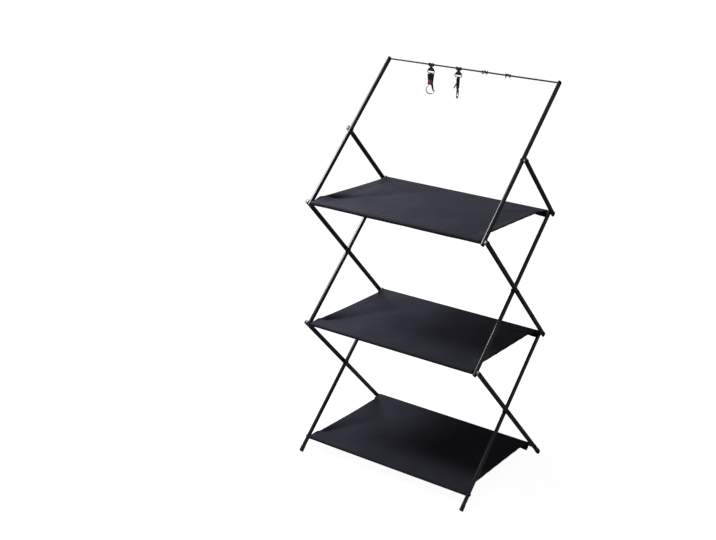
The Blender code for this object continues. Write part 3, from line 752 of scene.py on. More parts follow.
def rivet_pattern(grip):
    """A rivet through both bars: outer head up, its underside at height 0, inner head below."""
    rivet = round_piece("rivet", HEAD_RADIUS, HEAD_HEIGHT)
    round_rim(rivet, HEAD_HEIGHT, RIVET_ROUNDING, segments=5)
    sink(rivet, HEAD_HEIGHT, 1, RIVET_ROLL, -RIVET_DISH)
    sink(rivet, 0, -1, HEAD_RADIUS - SHANK_RADIUS, -grip)
    pick(rivet, faces=face_at(-grip, -1))
    push(0)
    bpy.ops.transform.resize(value=(HEAD_RADIUS / SHANK_RADIUS,) * 2 + (1,),
                             center_override=(0, 0, -grip))
    push(-HEAD_HEIGHT)
    round_rim(rivet, -grip - HEAD_HEIGHT, RIVET_TAIL_ROUNDING, segments=4)
    return finish_piece(rivet, DARK_STEEL, angle=30)


screw = screw_pattern()
for body, label, pivot in (
        ("bottom_shelf", "bottom_front", bottom_front),
        ("lower_outer_frame", "bottom_back", bottom_back),
        ("lower_inner_frame", "middle_back", middle_back),
        ("upper_inner_frame", "middle_front", middle_front),
        ("upper_inner_frame", "top_back", top_back),
        ("hanger", "top_front", top_front)):
    head_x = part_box(f"{label}_screw_right")[1].x - HEAD_HEIGHT
    both_sides(screw, f"{label}_button_screw", body, "fastener_steel", f"{label}_screw",
               lambda side: facing_out(side, head_x, pivot))
put_away(screw)

rivet_low, rivet_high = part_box("upper_crossing_rivet_right")
rivet = rivet_pattern(rivet_high.x - rivet_low.x - 2 * HEAD_HEIGHT)
for body, label, pivot in (
        ("lower_inner_frame", "lower_crossing", lower_crossing),
        ("upper_inner_frame", "upper_crossing", upper_crossing),
        ("hanger", "hanger", hanger_crossing)):
    both_sides(rivet, f"{label}_rolled_rivet", body, "fastener_steel", f"{label}_rivet",
               lambda side: facing_out(side, rivet_high.x - HEAD_HEIGHT, pivot))
put_away(rivet)

# Feet
# Four soft black boots pushed over the lower ends of the bars. Each has a thicker rim, and a
# sole that is flat on the ground.
BOOT_SIZE = (0.0105, 0.0155)
BOOT_RIM = (0.0109, 0.0159)
BOOT_CORNER = 0.0045
BOOT_REACH = 0.0523
BOOT_LENGTH = 0.018
BOOT_RIM_HEIGHT = 0.003
BOOT_RIM_ROUNDING = 0.0004
BOOT_WALL = 0.0006
SOLE_ROUNDING = 0.0012
RUBBER = hard_material("black_rubber", (0.013, 0.013, 0.014), (0.04, 0.04, 0.04), roughness=0.66,
                       grain=1200.0, depth=0.00015, wear=0.25, specular=0.35)


def boot_pattern():
    """A boot for a bar that leans back, told along that bar from its lowest pivot."""
    boot = block_piece("boot", (*BOOT_SIZE, BOOT_LENGTH - BOOT_RIM_HEIGHT), BOOT_CORNER)
    top = (BOOT_LENGTH - BOOT_RIM_HEIGHT) / 2
    pick(boot, faces=face_at(top, 1))
    push(0)
    bpy.ops.transform.resize(value=(BOOT_RIM[0] / BOOT_SIZE[0], BOOT_RIM[1] / BOOT_SIZE[1], 1),
                             center_override=(0, 0, top))
    push(BOOT_RIM_HEIGHT)
    bpy.ops.mesh.inset(thickness=BOOT_WALL)
    push(BOOT_RIM_HEIGHT - BOOT_LENGTH)
    round_rim(boot, top + BOOT_RIM_HEIGHT, BOOT_RIM_ROUNDING, segments=2)
    shifted(boot, raised(top - BOOT_REACH))
    down = Vector((0, -math.sin(LEAN_BACK), -math.cos(LEAN_BACK)))
    ground = down * levels[0]
    pick(boot, faces=lambda at, normal: True)
    bpy.ops.mesh.bisect(plane_co=ground, plane_no=down, use_fill=True, clear_outer=True)
    pick(boot, edges=lambda a, b: all(abs((p - ground).dot(down)) < SAME_PLACE for p in (a, b)))
    bpy.ops.mesh.bevel(offset=SOLE_ROUNDING, segments=3)
    return finish_piece(boot, RUBBER)


boot = boot_pattern()
both_sides(boot, "front_boot", "lower_inner_frame", "black_plastic", "front_foot",
           lambda side: along_bar(side, inner_layer, bottom_front, LEAN_BACK))
both_sides(boot, "back_boot", "lower_outer_frame", "black_plastic", "back_foot",
           lambda side: (along_bar(side, outer_layer, bottom_back, LEAN_FRONT)
                         @ Matrix.Rotation(math.pi, 4, 'Z')))
put_away(boot)

# Caps on the hangers
# A moulded black cap closes the top of each hanger bar. It is pushed on, and the hanging cord
# runs through a cross hole in it.
CAP_HOLE = 0.0023
CAP_DOME = 0.0018
CAP_EDGE = 0.0004


def cap_pattern():
    """A cap, told along its bar from the cord's hole."""
    cap = block_piece("cap", (BAR_THICKNESS, BAR_WIDTH, TIP_CAP), BAR_CORNER)
    round_rim(cap, TIP_CAP / 2, CAP_DOME, segments=4)
    round_rim(cap, -TIP_CAP / 2, CAP_EDGE, segments=2)
    hole = round_piece("hole", CAP_HOLE, 2 * BAR_THICKNESS, sides=32)
    across = Matrix.Rotation(math.pi / 2, 4, 'Y') @ raised(-BAR_THICKNESS)
    cut_from(cap, shifted(hole, across))
    return finish_piece(cap, PLASTIC, angle=30)


cap = cap_pattern()
both_sides(cap, "hanger_cap", "hanger", "black_plastic", "hanger_tip",
           lambda side: along_bar(side, inner_layer, cord_line, LEAN_BACK))
put_away(cap)

# Crossbars
# Six round aluminium tubes, coated like the bars. A threaded insert in each end takes its
# screw.
CROSSBAR_RADIUS = 0.005
CROSSBAR_SIDES = 48
CROSSBAR_ROUNDING = 0.0004
INSERT_RADIUS = 0.0028
INSERT_DEPTH = 0.014


def crossbar(node, body):
    """One crossbar between the faces of its bars."""
    low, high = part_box(node)
    length = high.x - low.x
    tube = round_piece(f"{node}_tube", CROSSBAR_RADIUS, length, CROSSBAR_SIDES)
    for height, up in ((length, 1), (0, -1)):
        sink(tube, height, up, CROSSBAR_RADIUS - INSERT_RADIUS, -up * INSERT_DEPTH)
        round_rim(tube, height, CROSSBAR_ROUNDING, segments=2)
    shifted(tube, facing_out(1, low.x, middle(node)))
    fitted(finish_piece(tube, COAT), body, "tube_coat", node)


crossbar("bottom_front_rod", "bottom_shelf")
crossbar("bottom_back_rod", "lower_outer_frame")
crossbar("middle_front_rod", "upper_inner_frame")
crossbar("middle_back_rod", "lower_inner_frame")
crossbar("top_front_rod", "hanger")
crossbar("top_back_rod", "upper_inner_frame")

# Cloth shelves
# Plain-woven coated polyester, slate black, drawn flat between two crossbars. Each end is turned
# under round its crossbar and sewn down with two rows of stitches, which leaves a slack sleeve.
# Each side edge is a narrow hem, turned down, and the cloth creases from its corners.
CLOTH = 0.0009
CLOTH_COLOUR = (0.0480, 0.0490, 0.0665)
CLOTH_DARK = (0.0360, 0.0365, 0.0480)
CLOTH_TINT = (0.8, 0.85, 1.0, 1.0)
CLOTH_RELIEF = 0.00018
THREAD_COLOUR = (0.030, 0.030, 0.034)
THREAD_WORN = (0.05, 0.05, 0.055)
THREAD_PITCH = 0.0009
CLOTH_ROWS, CLOTH_COLUMNS, HEM_COLUMNS = 150, 150, 9
SLEEVE_RADIUS = 0.0058
SLEEVE_HALF = 0.2925
SLEEVE_RINGS, SLEEVE_SIDES = 100, 32
FLAP_ROWS, FLAP_COLUMNS = 18, 120
FLAP_DEPTH = 0.030
FLAP_CUT = 0.036
FLAP_ROW_PAST_SEAM = 0.002
FLAP_CLEARANCE = 1.04 * CLOTH
FLAP_SAG = 0.0066
END_SAG = (1.1, 0.7, 0.8)
END_SAG_WIDTH = 0.07
# Each wave of the slack: its share of the sag, its length, and its shift from shelf to shelf.
SLACK_WAVES = ((0.10, 0.23, 0.31), (0.06, 0.094, 0.17))
FREE_HALF = 0.2838
FREE_END = 0.165
EDGE_PULL = 0.0015
# How far from the middle the cloth widens to its sleeves, and its hems lie flat.
EDGE_WIDENS = (0.146, 0.163)
HEM_FLATTENS = (0.146, 0.162)
EDGE_LIFT = ((0.0035, 0.0030), (0.0060, 0.0030), (0.0105, 0.0040))
LIFT_WIDTH = 0.034
LIFT_RAMP = (0.065, 0.065, 0.042)
HEM = 0.0045
HEM_TURN = math.radians(84)
HEM_BEND = 0.0022
HEM_WAVE, HEM_WAVE_LENGTH = 0.0005, 0.052
CLOTH_SAG, MEAN_SAG = 0.0025, 0.75
ROD_EASE = (0.004, 0.032)
# The drawn cloth's waves, and how far they shift from shelf to shelf.
LONG_WAVE, LONG_WAVE_LENGTH = 0.0005, 0.19
RIPPLE, RIPPLE_LENGTHS = 0.0003, (0.083, 0.31)
WAVE_SHIFTS = (0.13, 0.3, 0.4)
PUCKER, PUCKER_WIDTH = 0.00028, 0.0022
PUCKER_LENGTHS, PUCKER_SHARES = (0.019, 0.0073), (0.45, 0.3)
SEAM_LINES = (0.1635, 0.1665)
SEAM_INSET = 0.004
SEAM_UNDERSIDE = 1.5 * CLOTH
HEM_SEAM_HALF = 0.150
STITCH = 0.0030
STITCH_PITCH = 0.0036
STITCH_RADIUS = 0.00035
STITCH_INSET = 0.0055
STITCH_SIDES = 6
STITCH_FLATNESS = 1.3
# Each ring of a stitch: how far along it, how thick, and how deep in the cloth.
STITCH_RINGS = ((-0.5, 0.35, 0.9), (-0.3, 1.0, 0.1), (0.3, 1.0, 0.1), (0.5, 0.35, 0.9))
CREASE_START = 0.02
CREASE_EDGE = 0.018
CREASE_SPREAD = 0.09
RIDGE_SHARE = 0.25
RIDGE_ASIDE = 1.9
CORNER_X, CORNER_Y = 0.284, 0.168
# Each shelf's tension folds: corner, heading in degrees, depth, length and width.
CREASES = (
    (((-0.283, -0.165), 66, 0.0065, 0.15, 0.007),
     ((CORNER_X, CORNER_Y), 222, 0.0016, 0.12, 0.006),
     ((CORNER_X, -CORNER_Y), 139, 0.0016, 0.10, 0.005),
     ((-CORNER_X, CORNER_Y), -47, 0.0012, 0.11, 0.006)),
    (((-0.284, -0.165), 61, 0.0100, 0.22, 0.007),
     ((CORNER_X, CORNER_Y), 218, 0.0020, 0.13, 0.006),
     ((CORNER_X, -CORNER_Y), 134, 0.0030, 0.08, 0.005),
     ((-CORNER_X, CORNER_Y), -42, 0.0020, 0.12, 0.007)),
    (((-0.284, -0.150), 58, 0.0110, 0.25, 0.007),
     ((CORNER_X, CORNER_Y), 225, 0.0024, 0.13, 0.006),
     ((CORNER_X, -CORNER_Y), 141, 0.0040, 0.07, 0.005),
     ((-CORNER_X, CORNER_Y), -50, 0.0020, 0.12, 0.006)))


def weave_group():
    """Plain weave on a cloth's own coordinates: its relief, and which threads lie on top."""
    tree, given, result = effect_group("plain_weave", {"Point": None, "Pitch": THREAD_PITCH},
                                       ["Height", "Mask"])
    split = add_node(tree, 'ShaderNodeSeparateXYZ', {0: given["Point"]}).outputs
    counted = [maths(tree, 'DIVIDE', split[axis], given["Pitch"]) for axis in (0, 1)]
    waves = [maths(tree, 'SINE', times(tree, count, math.pi)) for count in counted]
    over = maths(tree, 'GREATER_THAN', times(tree, *waves), 0.0)
    under = maths(tree, 'SUBTRACT', 1.0, over)
    warp, weft = (maths(tree, 'ABSOLUTE', wave) for wave in waves)
    relief = maths(tree, 'ADD', times(tree, warp, over), times(tree, weft, under))
    connect(tree, result, {"Height": relief, "Mask": over})
    return tree


WEAVE = weave_group()


def woven(tree, pitch):
    """The weave placed in a material, on the piece's own UV map."""
    return add_node(tree, 'ShaderNodeGroup', {"Point": cloth_points(tree), "Pitch": pitch},
                    node_tree=WEAVE).outputs


def cloth_material():
    """Woven coated cloth, matte with a low sheen, a little uneven in shade."""
    made, tree, shader = new_material("slate_cloth", 0.85, specular=0.0, Sheen_Weight=0.04,
                                      Sheen_Roughness=0.45, Sheen_Tint=CLOTH_TINT)
    weave, points = woven(tree, THREAD_PITCH), own_points(tree)
    clouds = noise(tree, points, scale=9.0, detail=4.0, roughness=0.6)
    cloudy = ranged(tree, clouds, 0.35, 0.65, 0.25, 0.85)
    fibre = ranged(tree, noise(tree, points, scale=1400.0, detail=2.0), 0.3, 0.7, 0.8, 1.1)
    thread = maths(tree, 'ADD', 0.82, times(tree, weave["Mask"], 0.18))
    share = times(tree, cloudy, fibre, thread)
    connect(tree, shader, {"Base Color": mixed(tree, share, CLOTH_DARK, CLOTH_COLOUR),
                           "Roughness": ranged(tree, cloudy, 0.25, 0.85, 0.82, 0.72),
                           "Normal": bumped(tree, weave["Height"], CLOTH_RELIEF, strength=0.5)})
    return made


SLATE_CLOTH = cloth_material()
THREAD = hard_material("sewing_thread", THREAD_COLOUR, THREAD_WORN, roughness=0.7, grain=2600.0,
                       depth=0.0001, wear=0.0, specular=0.3)


def crease(x, y, corner, heading, depth, length, width):
    """A tension fold from a corner that fades: a valley that widens, with a low inner ridge."""
    way_x, way_y = math.cos(math.radians(heading)), math.sin(math.radians(heading))
    ahead = (x - corner[0]) * way_x + (y - corner[1]) * way_y
    if ahead <= 0:
        return 0.0
    aside = (y - corner[1]) * way_x - (x - corner[0]) * way_y
    inner = aside * math.copysign(1, corner[0] * corner[1])
    wide = width + CREASE_SPREAD * ahead
    fade = eased(0, CREASE_START, ahead) * eased(0, CREASE_EDGE, FREE_HALF - abs(x))
    ridge = RIDGE_SHARE * math.exp(-((inner + RIDGE_ASIDE * wide) / wide) ** 2)
    valley = math.exp(-(aside / wide) ** 2)
    return depth * fade * math.exp(-(ahead / length) ** 2) * (ridge - valley)


def edge_lift(x, y, shelf):
    """How far the taut side edge stands above the cloth beside it, more towards the front."""
    front, back = EDGE_LIFT[shelf]
    share = (y - front_y) / (back_y - front_y)
    rise = (front + (back - front) * share) * eased(0.0, LIFT_RAMP[shelf], back_y - abs(y))
    return rise * eased(FREE_HALF - LIFT_WIDTH, FREE_HALF, abs(x))


def cloth_height(x, y, shelf):
    """How far the cloth lies above or below flat, at a place on one shelf."""
    middle_share = MEAN_SAG + (1 - MEAN_SAG) * math.cos(math.pi * x / SLEEVE_HALF)
    level = -CLOTH_SAG * (1 - (y / back_y) ** 2) * middle_share
    for fold in CREASES[shelf]:
        level += crease(x, y, *fold)
    across, over, slanting = (shift * shelf for shift in WAVE_SHIFTS)
    level += (LONG_WAVE * math.sin(FULL_TURN * (x / LONG_WAVE_LENGTH + across))
              * math.sin(math.pi * (y / back_y + 1) / 2 + over))
    level += RIPPLE * math.sin(
        FULL_TURN * (x / RIPPLE_LENGTHS[0] + y / RIPPLE_LENGTHS[1] + slanting))
    for line in SEAM_LINES:
        pucker = (1 + PUCKER_SHARES[0] * math.sin(FULL_TURN * x / PUCKER_LENGTHS[0] + shelf)
                  + PUCKER_SHARES[1] * math.sin(FULL_TURN * x / PUCKER_LENGTHS[1]))
        level -= PUCKER * pucker * math.exp(-((abs(y) - line) / PUCKER_WIDTH) ** 2)
    return level * eased(*ROD_EASE, back_y - abs(y)) + edge_lift(x, y, shelf)


def edge_half(y):
    """Half the flat width at a distance from the middle: the free edges pull in a little."""
    free = FREE_HALF - EDGE_PULL * (1 - min(1.0, (y / FREE_END) ** 2))
    return free + (SLEEVE_HALF - HEM - free) * eased(*EDGE_WIDENS, abs(y))


def hem_angle(y):
    """How far the hem is turned down there: not at all in the sleeves."""
    return HEM_TURN * (1 - eased(*HEM_FLATTENS, abs(y)))


def hem_points(y, turn, shelf):
    """The hem from its fold outwards: each point's run, and how far out and down it is."""
    found, out, down = [], 0.0, 0.0
    for k in range(1, HEM_COLUMNS + 1):
        run = HEM * k / HEM_COLUMNS
        tilt = turn * eased(0, HEM_BEND, run - HEM / HEM_COLUMNS / 2)
        out += HEM / HEM_COLUMNS * math.cos(tilt)
        down -= HEM / HEM_COLUMNS * math.sin(tilt)
        wave = HEM_WAVE * math.sin(FULL_TURN * y / HEM_WAVE_LENGTH + shelf)
        found.append((run, out + wave * (run / HEM) * math.sin(turn), down))
    return found


def top_rows(shelf):
    """The upper cloth from crossbar to crossbar, with its hems, and its places when flat."""
    rows, places = [], []
    for i in range(CLOTH_ROWS + 1):
        y = front_y + (back_y - front_y) * i / CLOTH_ROWS
        half, turn = edge_half(y), hem_angle(y)
        hem = hem_points(y, turn, shelf)
        row, place = [], []

        def add(x, flat_x, level_x, down=0.0):
            level = cloth_height(level_x, y, shelf) + down
            row.append(Vector((x, y, levels[shelf] + SLEEVE_RADIUS + level)))
            place.append((flat_x, y))

        for run, out, down in hem[::-1]:
            add(-half - out, -half - run, -half - out * math.cos(turn) ** 2, down)
        for k in range(CLOTH_COLUMNS + 1):
            x = -half + 2 * half * k / CLOTH_COLUMNS
            add(x, x, x)
        for run, out, down in hem:
            add(half + out, half + run, half + out * math.cos(turn) ** 2, down)
        rows.append(row)
        places.append(place)
    return rows, places


def cloth_grid(last_row, last_column, spot):
    """Rows of points and their places when flat, both told by spot(row, column)."""
    grid = [[spot(r, c) for c in range(last_column + 1)] for r in range(last_row + 1)]
    return [[[pair[part] for pair in row] for row in grid] for part in (0, 1)]


def flap_rows(shelf, rod_y, inward):
    """The slack cloth under one crossbar, from the crossbar to its seam under the upper cloth."""
    def spot(s, k):
        t = min(1.0, s / FLAP_ROWS)
        x = -SLEEVE_HALF + 2 * SLEEVE_HALF * k / FLAP_COLUMNS
        near_end = eased(SLEEVE_HALF - END_SAG_WIDTH, SLEEVE_HALF, abs(x))
        waves = sum(share * math.sin(FULL_TURN * (x / length + shift * shelf))
                    for share, length, shift in SLACK_WAVES)
        slack = FLAP_SAG * (1 + waves + END_SAG[shelf] * max(0, -inward) * near_end)
        y = rod_y + inward * (FLAP_DEPTH * t + FLAP_ROW_PAST_SEAM * max(0, s - FLAP_ROWS))
        rise = (2 * SLEEVE_RADIUS - FLAP_CLEARANCE) * (1 - math.cos(math.pi * t)) / 2
        seam = cloth_height(x, y, shelf) * t ** 3
        level = levels[shelf] - SLEEVE_RADIUS + rise - slack * math.sin(math.pi * t) + seam
        cut = math.pi * SLEEVE_RADIUS + FLAP_CUT * s / FLAP_ROWS
        return Vector((x, y, level)), (x, rod_y - inward * cut)

    return cloth_grid(FLAP_ROWS + 2, FLAP_COLUMNS, spot)


def thickened(piece, thickness):
    """Gives a cloth mesh its thickness, equally to both sides."""
    select_only(piece)
    wall = piece.modifiers.new("cloth", 'SOLIDIFY')
    wall.thickness = thickness
    wall.offset = 0
    wall.use_even_offset = False
    bpy.ops.object.modifier_apply(modifier=wall.name)
    return piece


def joined(first, *others):
    """Joins pieces into the first one's mesh."""
    select_only(first)
    for other in others:
        other.select_set(True)
    bpy.ops.object.join()
    return first


def sleeve_tube(name, shelf, rod_y):
    """The cloth close round one crossbar."""
    def spot(k, s):
        x = -SLEEVE_HALF + 2 * SLEEVE_HALF * k / SLEEVE_RINGS
        turn = FULL_TURN * s / SLEEVE_SIDES
        point = Vector((x, rod_y + SLEEVE_RADIUS * math.cos(turn),
                        levels[shelf] + SLEEVE_RADIUS * math.sin(turn)))
        return point, (x, SLEEVE_RADIUS * turn)

    tube = grid_piece(name, *cloth_grid(SLEEVE_RINGS, SLEEVE_SIDES, spot), SLATE_CLOTH)
    return thickened(face_outwards(tube), CLOTH)


def stitch_rows(name, stitches):
    """Short thread stitches, each told by its place, direction and surface normal."""
    points, faces = [], []
    for place, ahead, up in stitches:
        across = up.cross(ahead)
        start = len(points)
        for along, swell, sunk in STITCH_RINGS:
            for k in range(STITCH_SIDES):
                turn = FULL_TURN * k / STITCH_SIDES
                aside = math.cos(turn) * across * STITCH_FLATNESS + math.sin(turn) * up
                points.append(place + STITCH * along * ahead + STITCH_RADIUS * swell * aside
                              - up * STITCH_RADIUS * sunk)
        last = start + (len(STITCH_RINGS) - 1) * STITCH_SIDES
        for ring in range(start, last, STITCH_SIDES):
            for k in range(STITCH_SIDES):
                a, b = ring + k, ring + (k + 1) % STITCH_SIDES
                faces.append((a, b, b + STITCH_SIDES, a + STITCH_SIDES))
        faces.append(tuple(start + k for k in range(STITCH_SIDES))[::-1])
        faces.append(tuple(last + k for k in range(STITCH_SIDES)))
    return face_outwards(mesh_piece(name, points, faces, THREAD))


def shelf_stitches(shelf):
    """One shelf's stitches: two rows along each sleeve and one along each hem, on both faces."""
    across, back, up = Vector((1, 0, 0)), Vector((0, 1, 0)), Vector((0, 0, 1))
    half = SLEEVE_HALF - SEAM_INSET
    spots = []
    for sign in (-1, 1):
        for line in SEAM_LINES:
            spots += [(-half + STITCH_PITCH * (k + 0.5), sign * line, across, SEAM_UNDERSIDE)
                      for k in range(int(2 * half / STITCH_PITCH))]
        for k in range(int(2 * HEM_SEAM_HALF / STITCH_PITCH)):
            y = -HEM_SEAM_HALF + STITCH_PITCH * (k + 0.5)
            spots.append((sign * (edge_half(y) - STITCH_INSET), y, back, CLOTH / 2))
    found = []
    for x, y, ahead, below in spots:
        height = levels[shelf] + SLEEVE_RADIUS + cloth_height(x, y, shelf)
        found.append((Vector((x, y, height + CLOTH / 2)), ahead, up))
        found.append((Vector((x, y, height - below)), ahead, -up))
    return found


def cloth_shelf(shelf, label, body, front_body, back_body):
    """One whole shelf: upper cloth with both slack flaps, its two sleeves, and its stitches."""
    parts = [thickened(grid_piece(f"{label}_part", *rows, SLATE_CLOTH), CLOTH)
             for rows in (top_rows(shelf), flap_rows(shelf, front_y, 1),
                          flap_rows(shelf, back_y, -1))]
    cloth = joined(*parts)
    cloth.name = f"{label}_cloth"
    front = fitted(sleeve_tube(f"{label}_front_sleeve", shelf, front_y), front_body,
                   "shelf_fabric")
    back = fitted(sleeve_tube(f"{label}_back_sleeve", shelf, back_y), back_body, "shelf_fabric")
    stitches = fitted(stitch_rows(f"{label}_stitches", shelf_stitches(shelf)), body,
                      "shelf_fabric")
    fitted(cloth, body, "shelf_fabric", f"{label}_sheet")
    for piece in (cloth, stitches):
        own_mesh(piece)


cloth_shelf(0, "bottom", "bottom_shelf", "bottom_shelf", "lower_outer_frame")
cloth_shelf(1, "middle", "middle_shelf", "upper_inner_frame", "middle_shelf")
cloth_shelf(2, "top", "top_shelf", "hanger", "top_shelf")

# Snap hooks
# Two hooks hang on the cord. A loop of black webbing is hitched round the cord and carries an
# oblong eye. A ribbed moulded body swivels under the eye and holds a polished steel hook, a
# black gate and a maroon thumb lever.
EYE_TOP = -0.0170
EYE_WIDTH = 0.0255
EYE_HEIGHT = 0.009
EYE_WIRE = 0.0012
EYE_SIDES, EYE_STEPS, EYE_SPLITS = 14, 12, 3
COLLAR_RADIUS = 0.0036
COLLAR_BOTTOM = -0.0283
COLLAR_ROUNDING = 0.0006
COLLAR_SIDES = 28
STEM_RADIUS = 0.002
STEM_LENGTH = 0.005
BODY_TOP = -0.0286
BODY_BOTTOM = -0.0611
BODY_WIDTHS = (0.0215, 0.0150)
BODY_THICKNESS = 0.008
BODY_THINNING = 0.92
BODY_CORNER = 0.0022
BODY_ROUNDINGS = (0.0012, 0.0008)
BODY_BANDS = 28
BODY_GROOVES = (9, 13, 17, 21, 25)
GROOVE_DEPTH = 0.0006
BOW_MIDDLE = -0.0776
BOW_RADIUS = 0.0135
BOW_START, BOW_END, BOW_STEPS = 160, 358, 24
HOOK_WIRE = 0.0019
HOOK_SIDES = 20
NOSE_TIP = 0.02
SHANK_BENDS = (0.0035, -0.0005, -0.0022)
GATE_PIVOT = (0.0051, 0, -0.0581)
GATE_SIZE = (0.0084, 0.0040, 0.0263)
GATE_ASIDE = -0.0011
GATE_TAPER = (0.45, 0.85)
GATE_TAPER_X = 0.00088
GATE_CORNER = 0.0014
GATE_ROUNDINGS = (0.0009, 0.0019)
GATE_HEAD = 0.0023
GATE_LEAN = math.radians(11.2)
LEVER_PIVOT = (0, -0.0057, -0.0481)
LEVER_SIZE = (0.0148, 0.0028, 0.0154)
LEVER_TAPER = (0.94, 0.72)
LEVER_CORNER = 0.0009
LEVER_ROUNDINGS = (0.0006, 0.0010)
LEVER_HEAD = 0.0012
LEVER_LEAN = math.radians(24)
LEVER_BANDS = 14
LEVER_RIDGES = (2, 4, 6)
RIDGE_HEIGHT = 0.0005
GATE_PIN = (0.0008, 0.0084)
LEVER_PIN = (0.0006, 0.0156)
PIN_ROUNDING = 0.35
PIN_SIDES = 20
STRAP_WIDTHS = (0.0078, 0.0072, 0.0205)
# How far under the cord's middle the strap narrows to its neck, and widens to its eye.
STRAP_NECK = (-0.002, 0.005)
STRAP_FLARE = (0.0085, 0.0155)
STRAP_THICKNESS = 0.0013
STRAP_MIDDLE = -0.008
STRAP_GATHER, STRAP_FOLDS = 0.0005, 3
STRAP_COLUMNS = 8
STRAP_PITCH = 0.0011
STRAP_RELIEF = 0.0003
WEBBING_COLOUR = (0.010, 0.010, 0.011)
# Painted shade: the webbing's colour down between its threads.
WEBBING_DARK = (0.003, 0.003, 0.0035)
STRAP_OUTLINE = ((0.0, 0.0031), (0.0024, 0.0022), (0.0031, -0.0005), (0.0018, -0.0044),
                 (0.0011, -0.0070), (0.0012, -0.0110), (0.0020, -0.0146), (0.0022, -0.0173),
                 (0.0014, -0.0191), (0.0, -0.0197))
HITCH_RADIUS = 0.0014
HITCH_SIDES, HITCH_STEPS, BAND_STEPS = 12, 90, 60
HITCH_START, HITCH_RUN = 0.0046, 0.0042
HITCH_REACH = 0.0036
HITCH_TURNS = 1.9
BAND_SIZE = (0.0052, 0.0030)
BAND_LEVEL, BAND_WAVE = -0.0058, 0.0006
HOOK_TURNS = (math.radians(20), math.radians(-70))
BRIGHT_STEEL = hard_material("polished_steel", (0.42, 0.425, 0.44), (0.60, 0.60, 0.61),
                             roughness=0.24, grain=1500.0, depth=0.00002, wear=0.3, metallic=1.0)
HOOK_BLACK = hard_material("hook_black", (0.0030, 0.0030, 0.0033), (0.012, 0.012, 0.013),
                           roughness=0.48, grain=2200.0, depth=0.0001, wear=0.2, specular=0.22)
MAROON = hard_material("maroon_plastic", (0.105, 0.012, 0.028), (0.20, 0.05, 0.07),
                       roughness=0.45, grain=2000.0, depth=0.0001, wear=0.3, specular=0.45)


def webbing_material():
    """Narrow black webbing with a woven relief, and painted shade between its threads."""
    made, tree, shader = new_material("black_webbing", 0.8, specular=0.12, Sheen_Weight=0.03,
                                      Sheen_Roughness=0.5)
    weave = woven(tree, STRAP_PITCH)["Height"]
    fibre = noise(tree, own_points(tree), scale=1500.0, detail=2.0)
    # The colour goes darker where the weave's relief is low: painted shade between the threads.
    share = times(tree, ranged(tree, weave, 0.1, 0.9, 0.3, 1.0),
                  ranged(tree, fibre, 0.3, 0.7, 0.7, 1.0))
    connect(tree, shader, {
        "Base Color": mixed(tree, share, WEBBING_DARK, WEBBING_COLOUR),
        "Normal": bumped(tree, weave, STRAP_RELIEF, strength=0.7)})
    return made


WEBBING = webbing_material()


def softened(points, rounds, closed=False):
    """A path with its corners cut round."""
    path = [Vector(p) for p in points]
    for _ in range(rounds):
        pairs = zip(path, path[1:] + path[:1] if closed else path[1:])
        cut = [p for a, b in pairs for p in (a * 0.75 + b * 0.25, a * 0.25 + b * 0.75)]
        path = cut if closed else [path[0]] + cut[1:-1] + [path[-1]]
    return path


def strap_pattern():
    """The webbing loop, hitched round the cord and wide where it holds the eye."""
    path = softened([(0, y, z) for y, z in STRAP_OUTLINE]
                    + [(0, -y, z) for y, z in STRAP_OUTLINE[::-1][1:-1]], rounds=2, closed=True)
    rows, places, along = [], [], 0.0
    for i, point in enumerate(path + path[:1]):
        if i:
            along += (point - path[i - 1]).length
        neck, flare = eased(*STRAP_NECK, -point.z), eased(*STRAP_FLARE, -point.z)
        width = (STRAP_WIDTHS[0] + (STRAP_WIDTHS[1] - STRAP_WIDTHS[0]) * neck
                 + (STRAP_WIDTHS[2] - STRAP_WIDTHS[1]) * flare)
        outward = Vector((0, point.y, point.z - STRAP_MIDDLE)).normalized()
        across = [k / STRAP_COLUMNS - 0.5 for k in range(STRAP_COLUMNS + 1)]
        rows.append([Vector((width * share, point.y, point.z))
                     + (STRAP_GATHER * math.cos(STRAP_FOLDS * FULL_TURN * share)
                        * (1 - flare) * outward) for share in across])
        places.append([(width * share, along) for share in across])
    return thickened(face_outwards(grid_piece("strap", rows, places, WEBBING)), STRAP_THICKNESS)


def hitch_pattern():
    """The turns of braided cord that hold the strap on the hanging cord, on both sides of it."""
    lines = []
    for side in (-1, 1):
        turns = [FULL_TURN * HITCH_TURNS * s / HITCH_STEPS for s in range(HITCH_STEPS + 1)]
        lines.append([Vector((side * (HITCH_START + HITCH_RUN * s / HITCH_STEPS),
                              HITCH_REACH * math.cos(turn), HITCH_REACH * math.sin(turn)))
                      for s, turn in enumerate(turns)])
    turns = [FULL_TURN * s / BAND_STEPS for s in range(BAND_STEPS + 1)]
    lines.append([Vector((BAND_SIZE[0] * math.cos(turn), BAND_SIZE[1] * math.sin(turn),
                          BAND_LEVEL + BAND_WAVE * math.sin(2 * turn))) for turn in turns])
    return joined(*(corded("hitch", line, HITCH_RADIUS, BRAIDED, HITCH_SIDES) for line in lines))


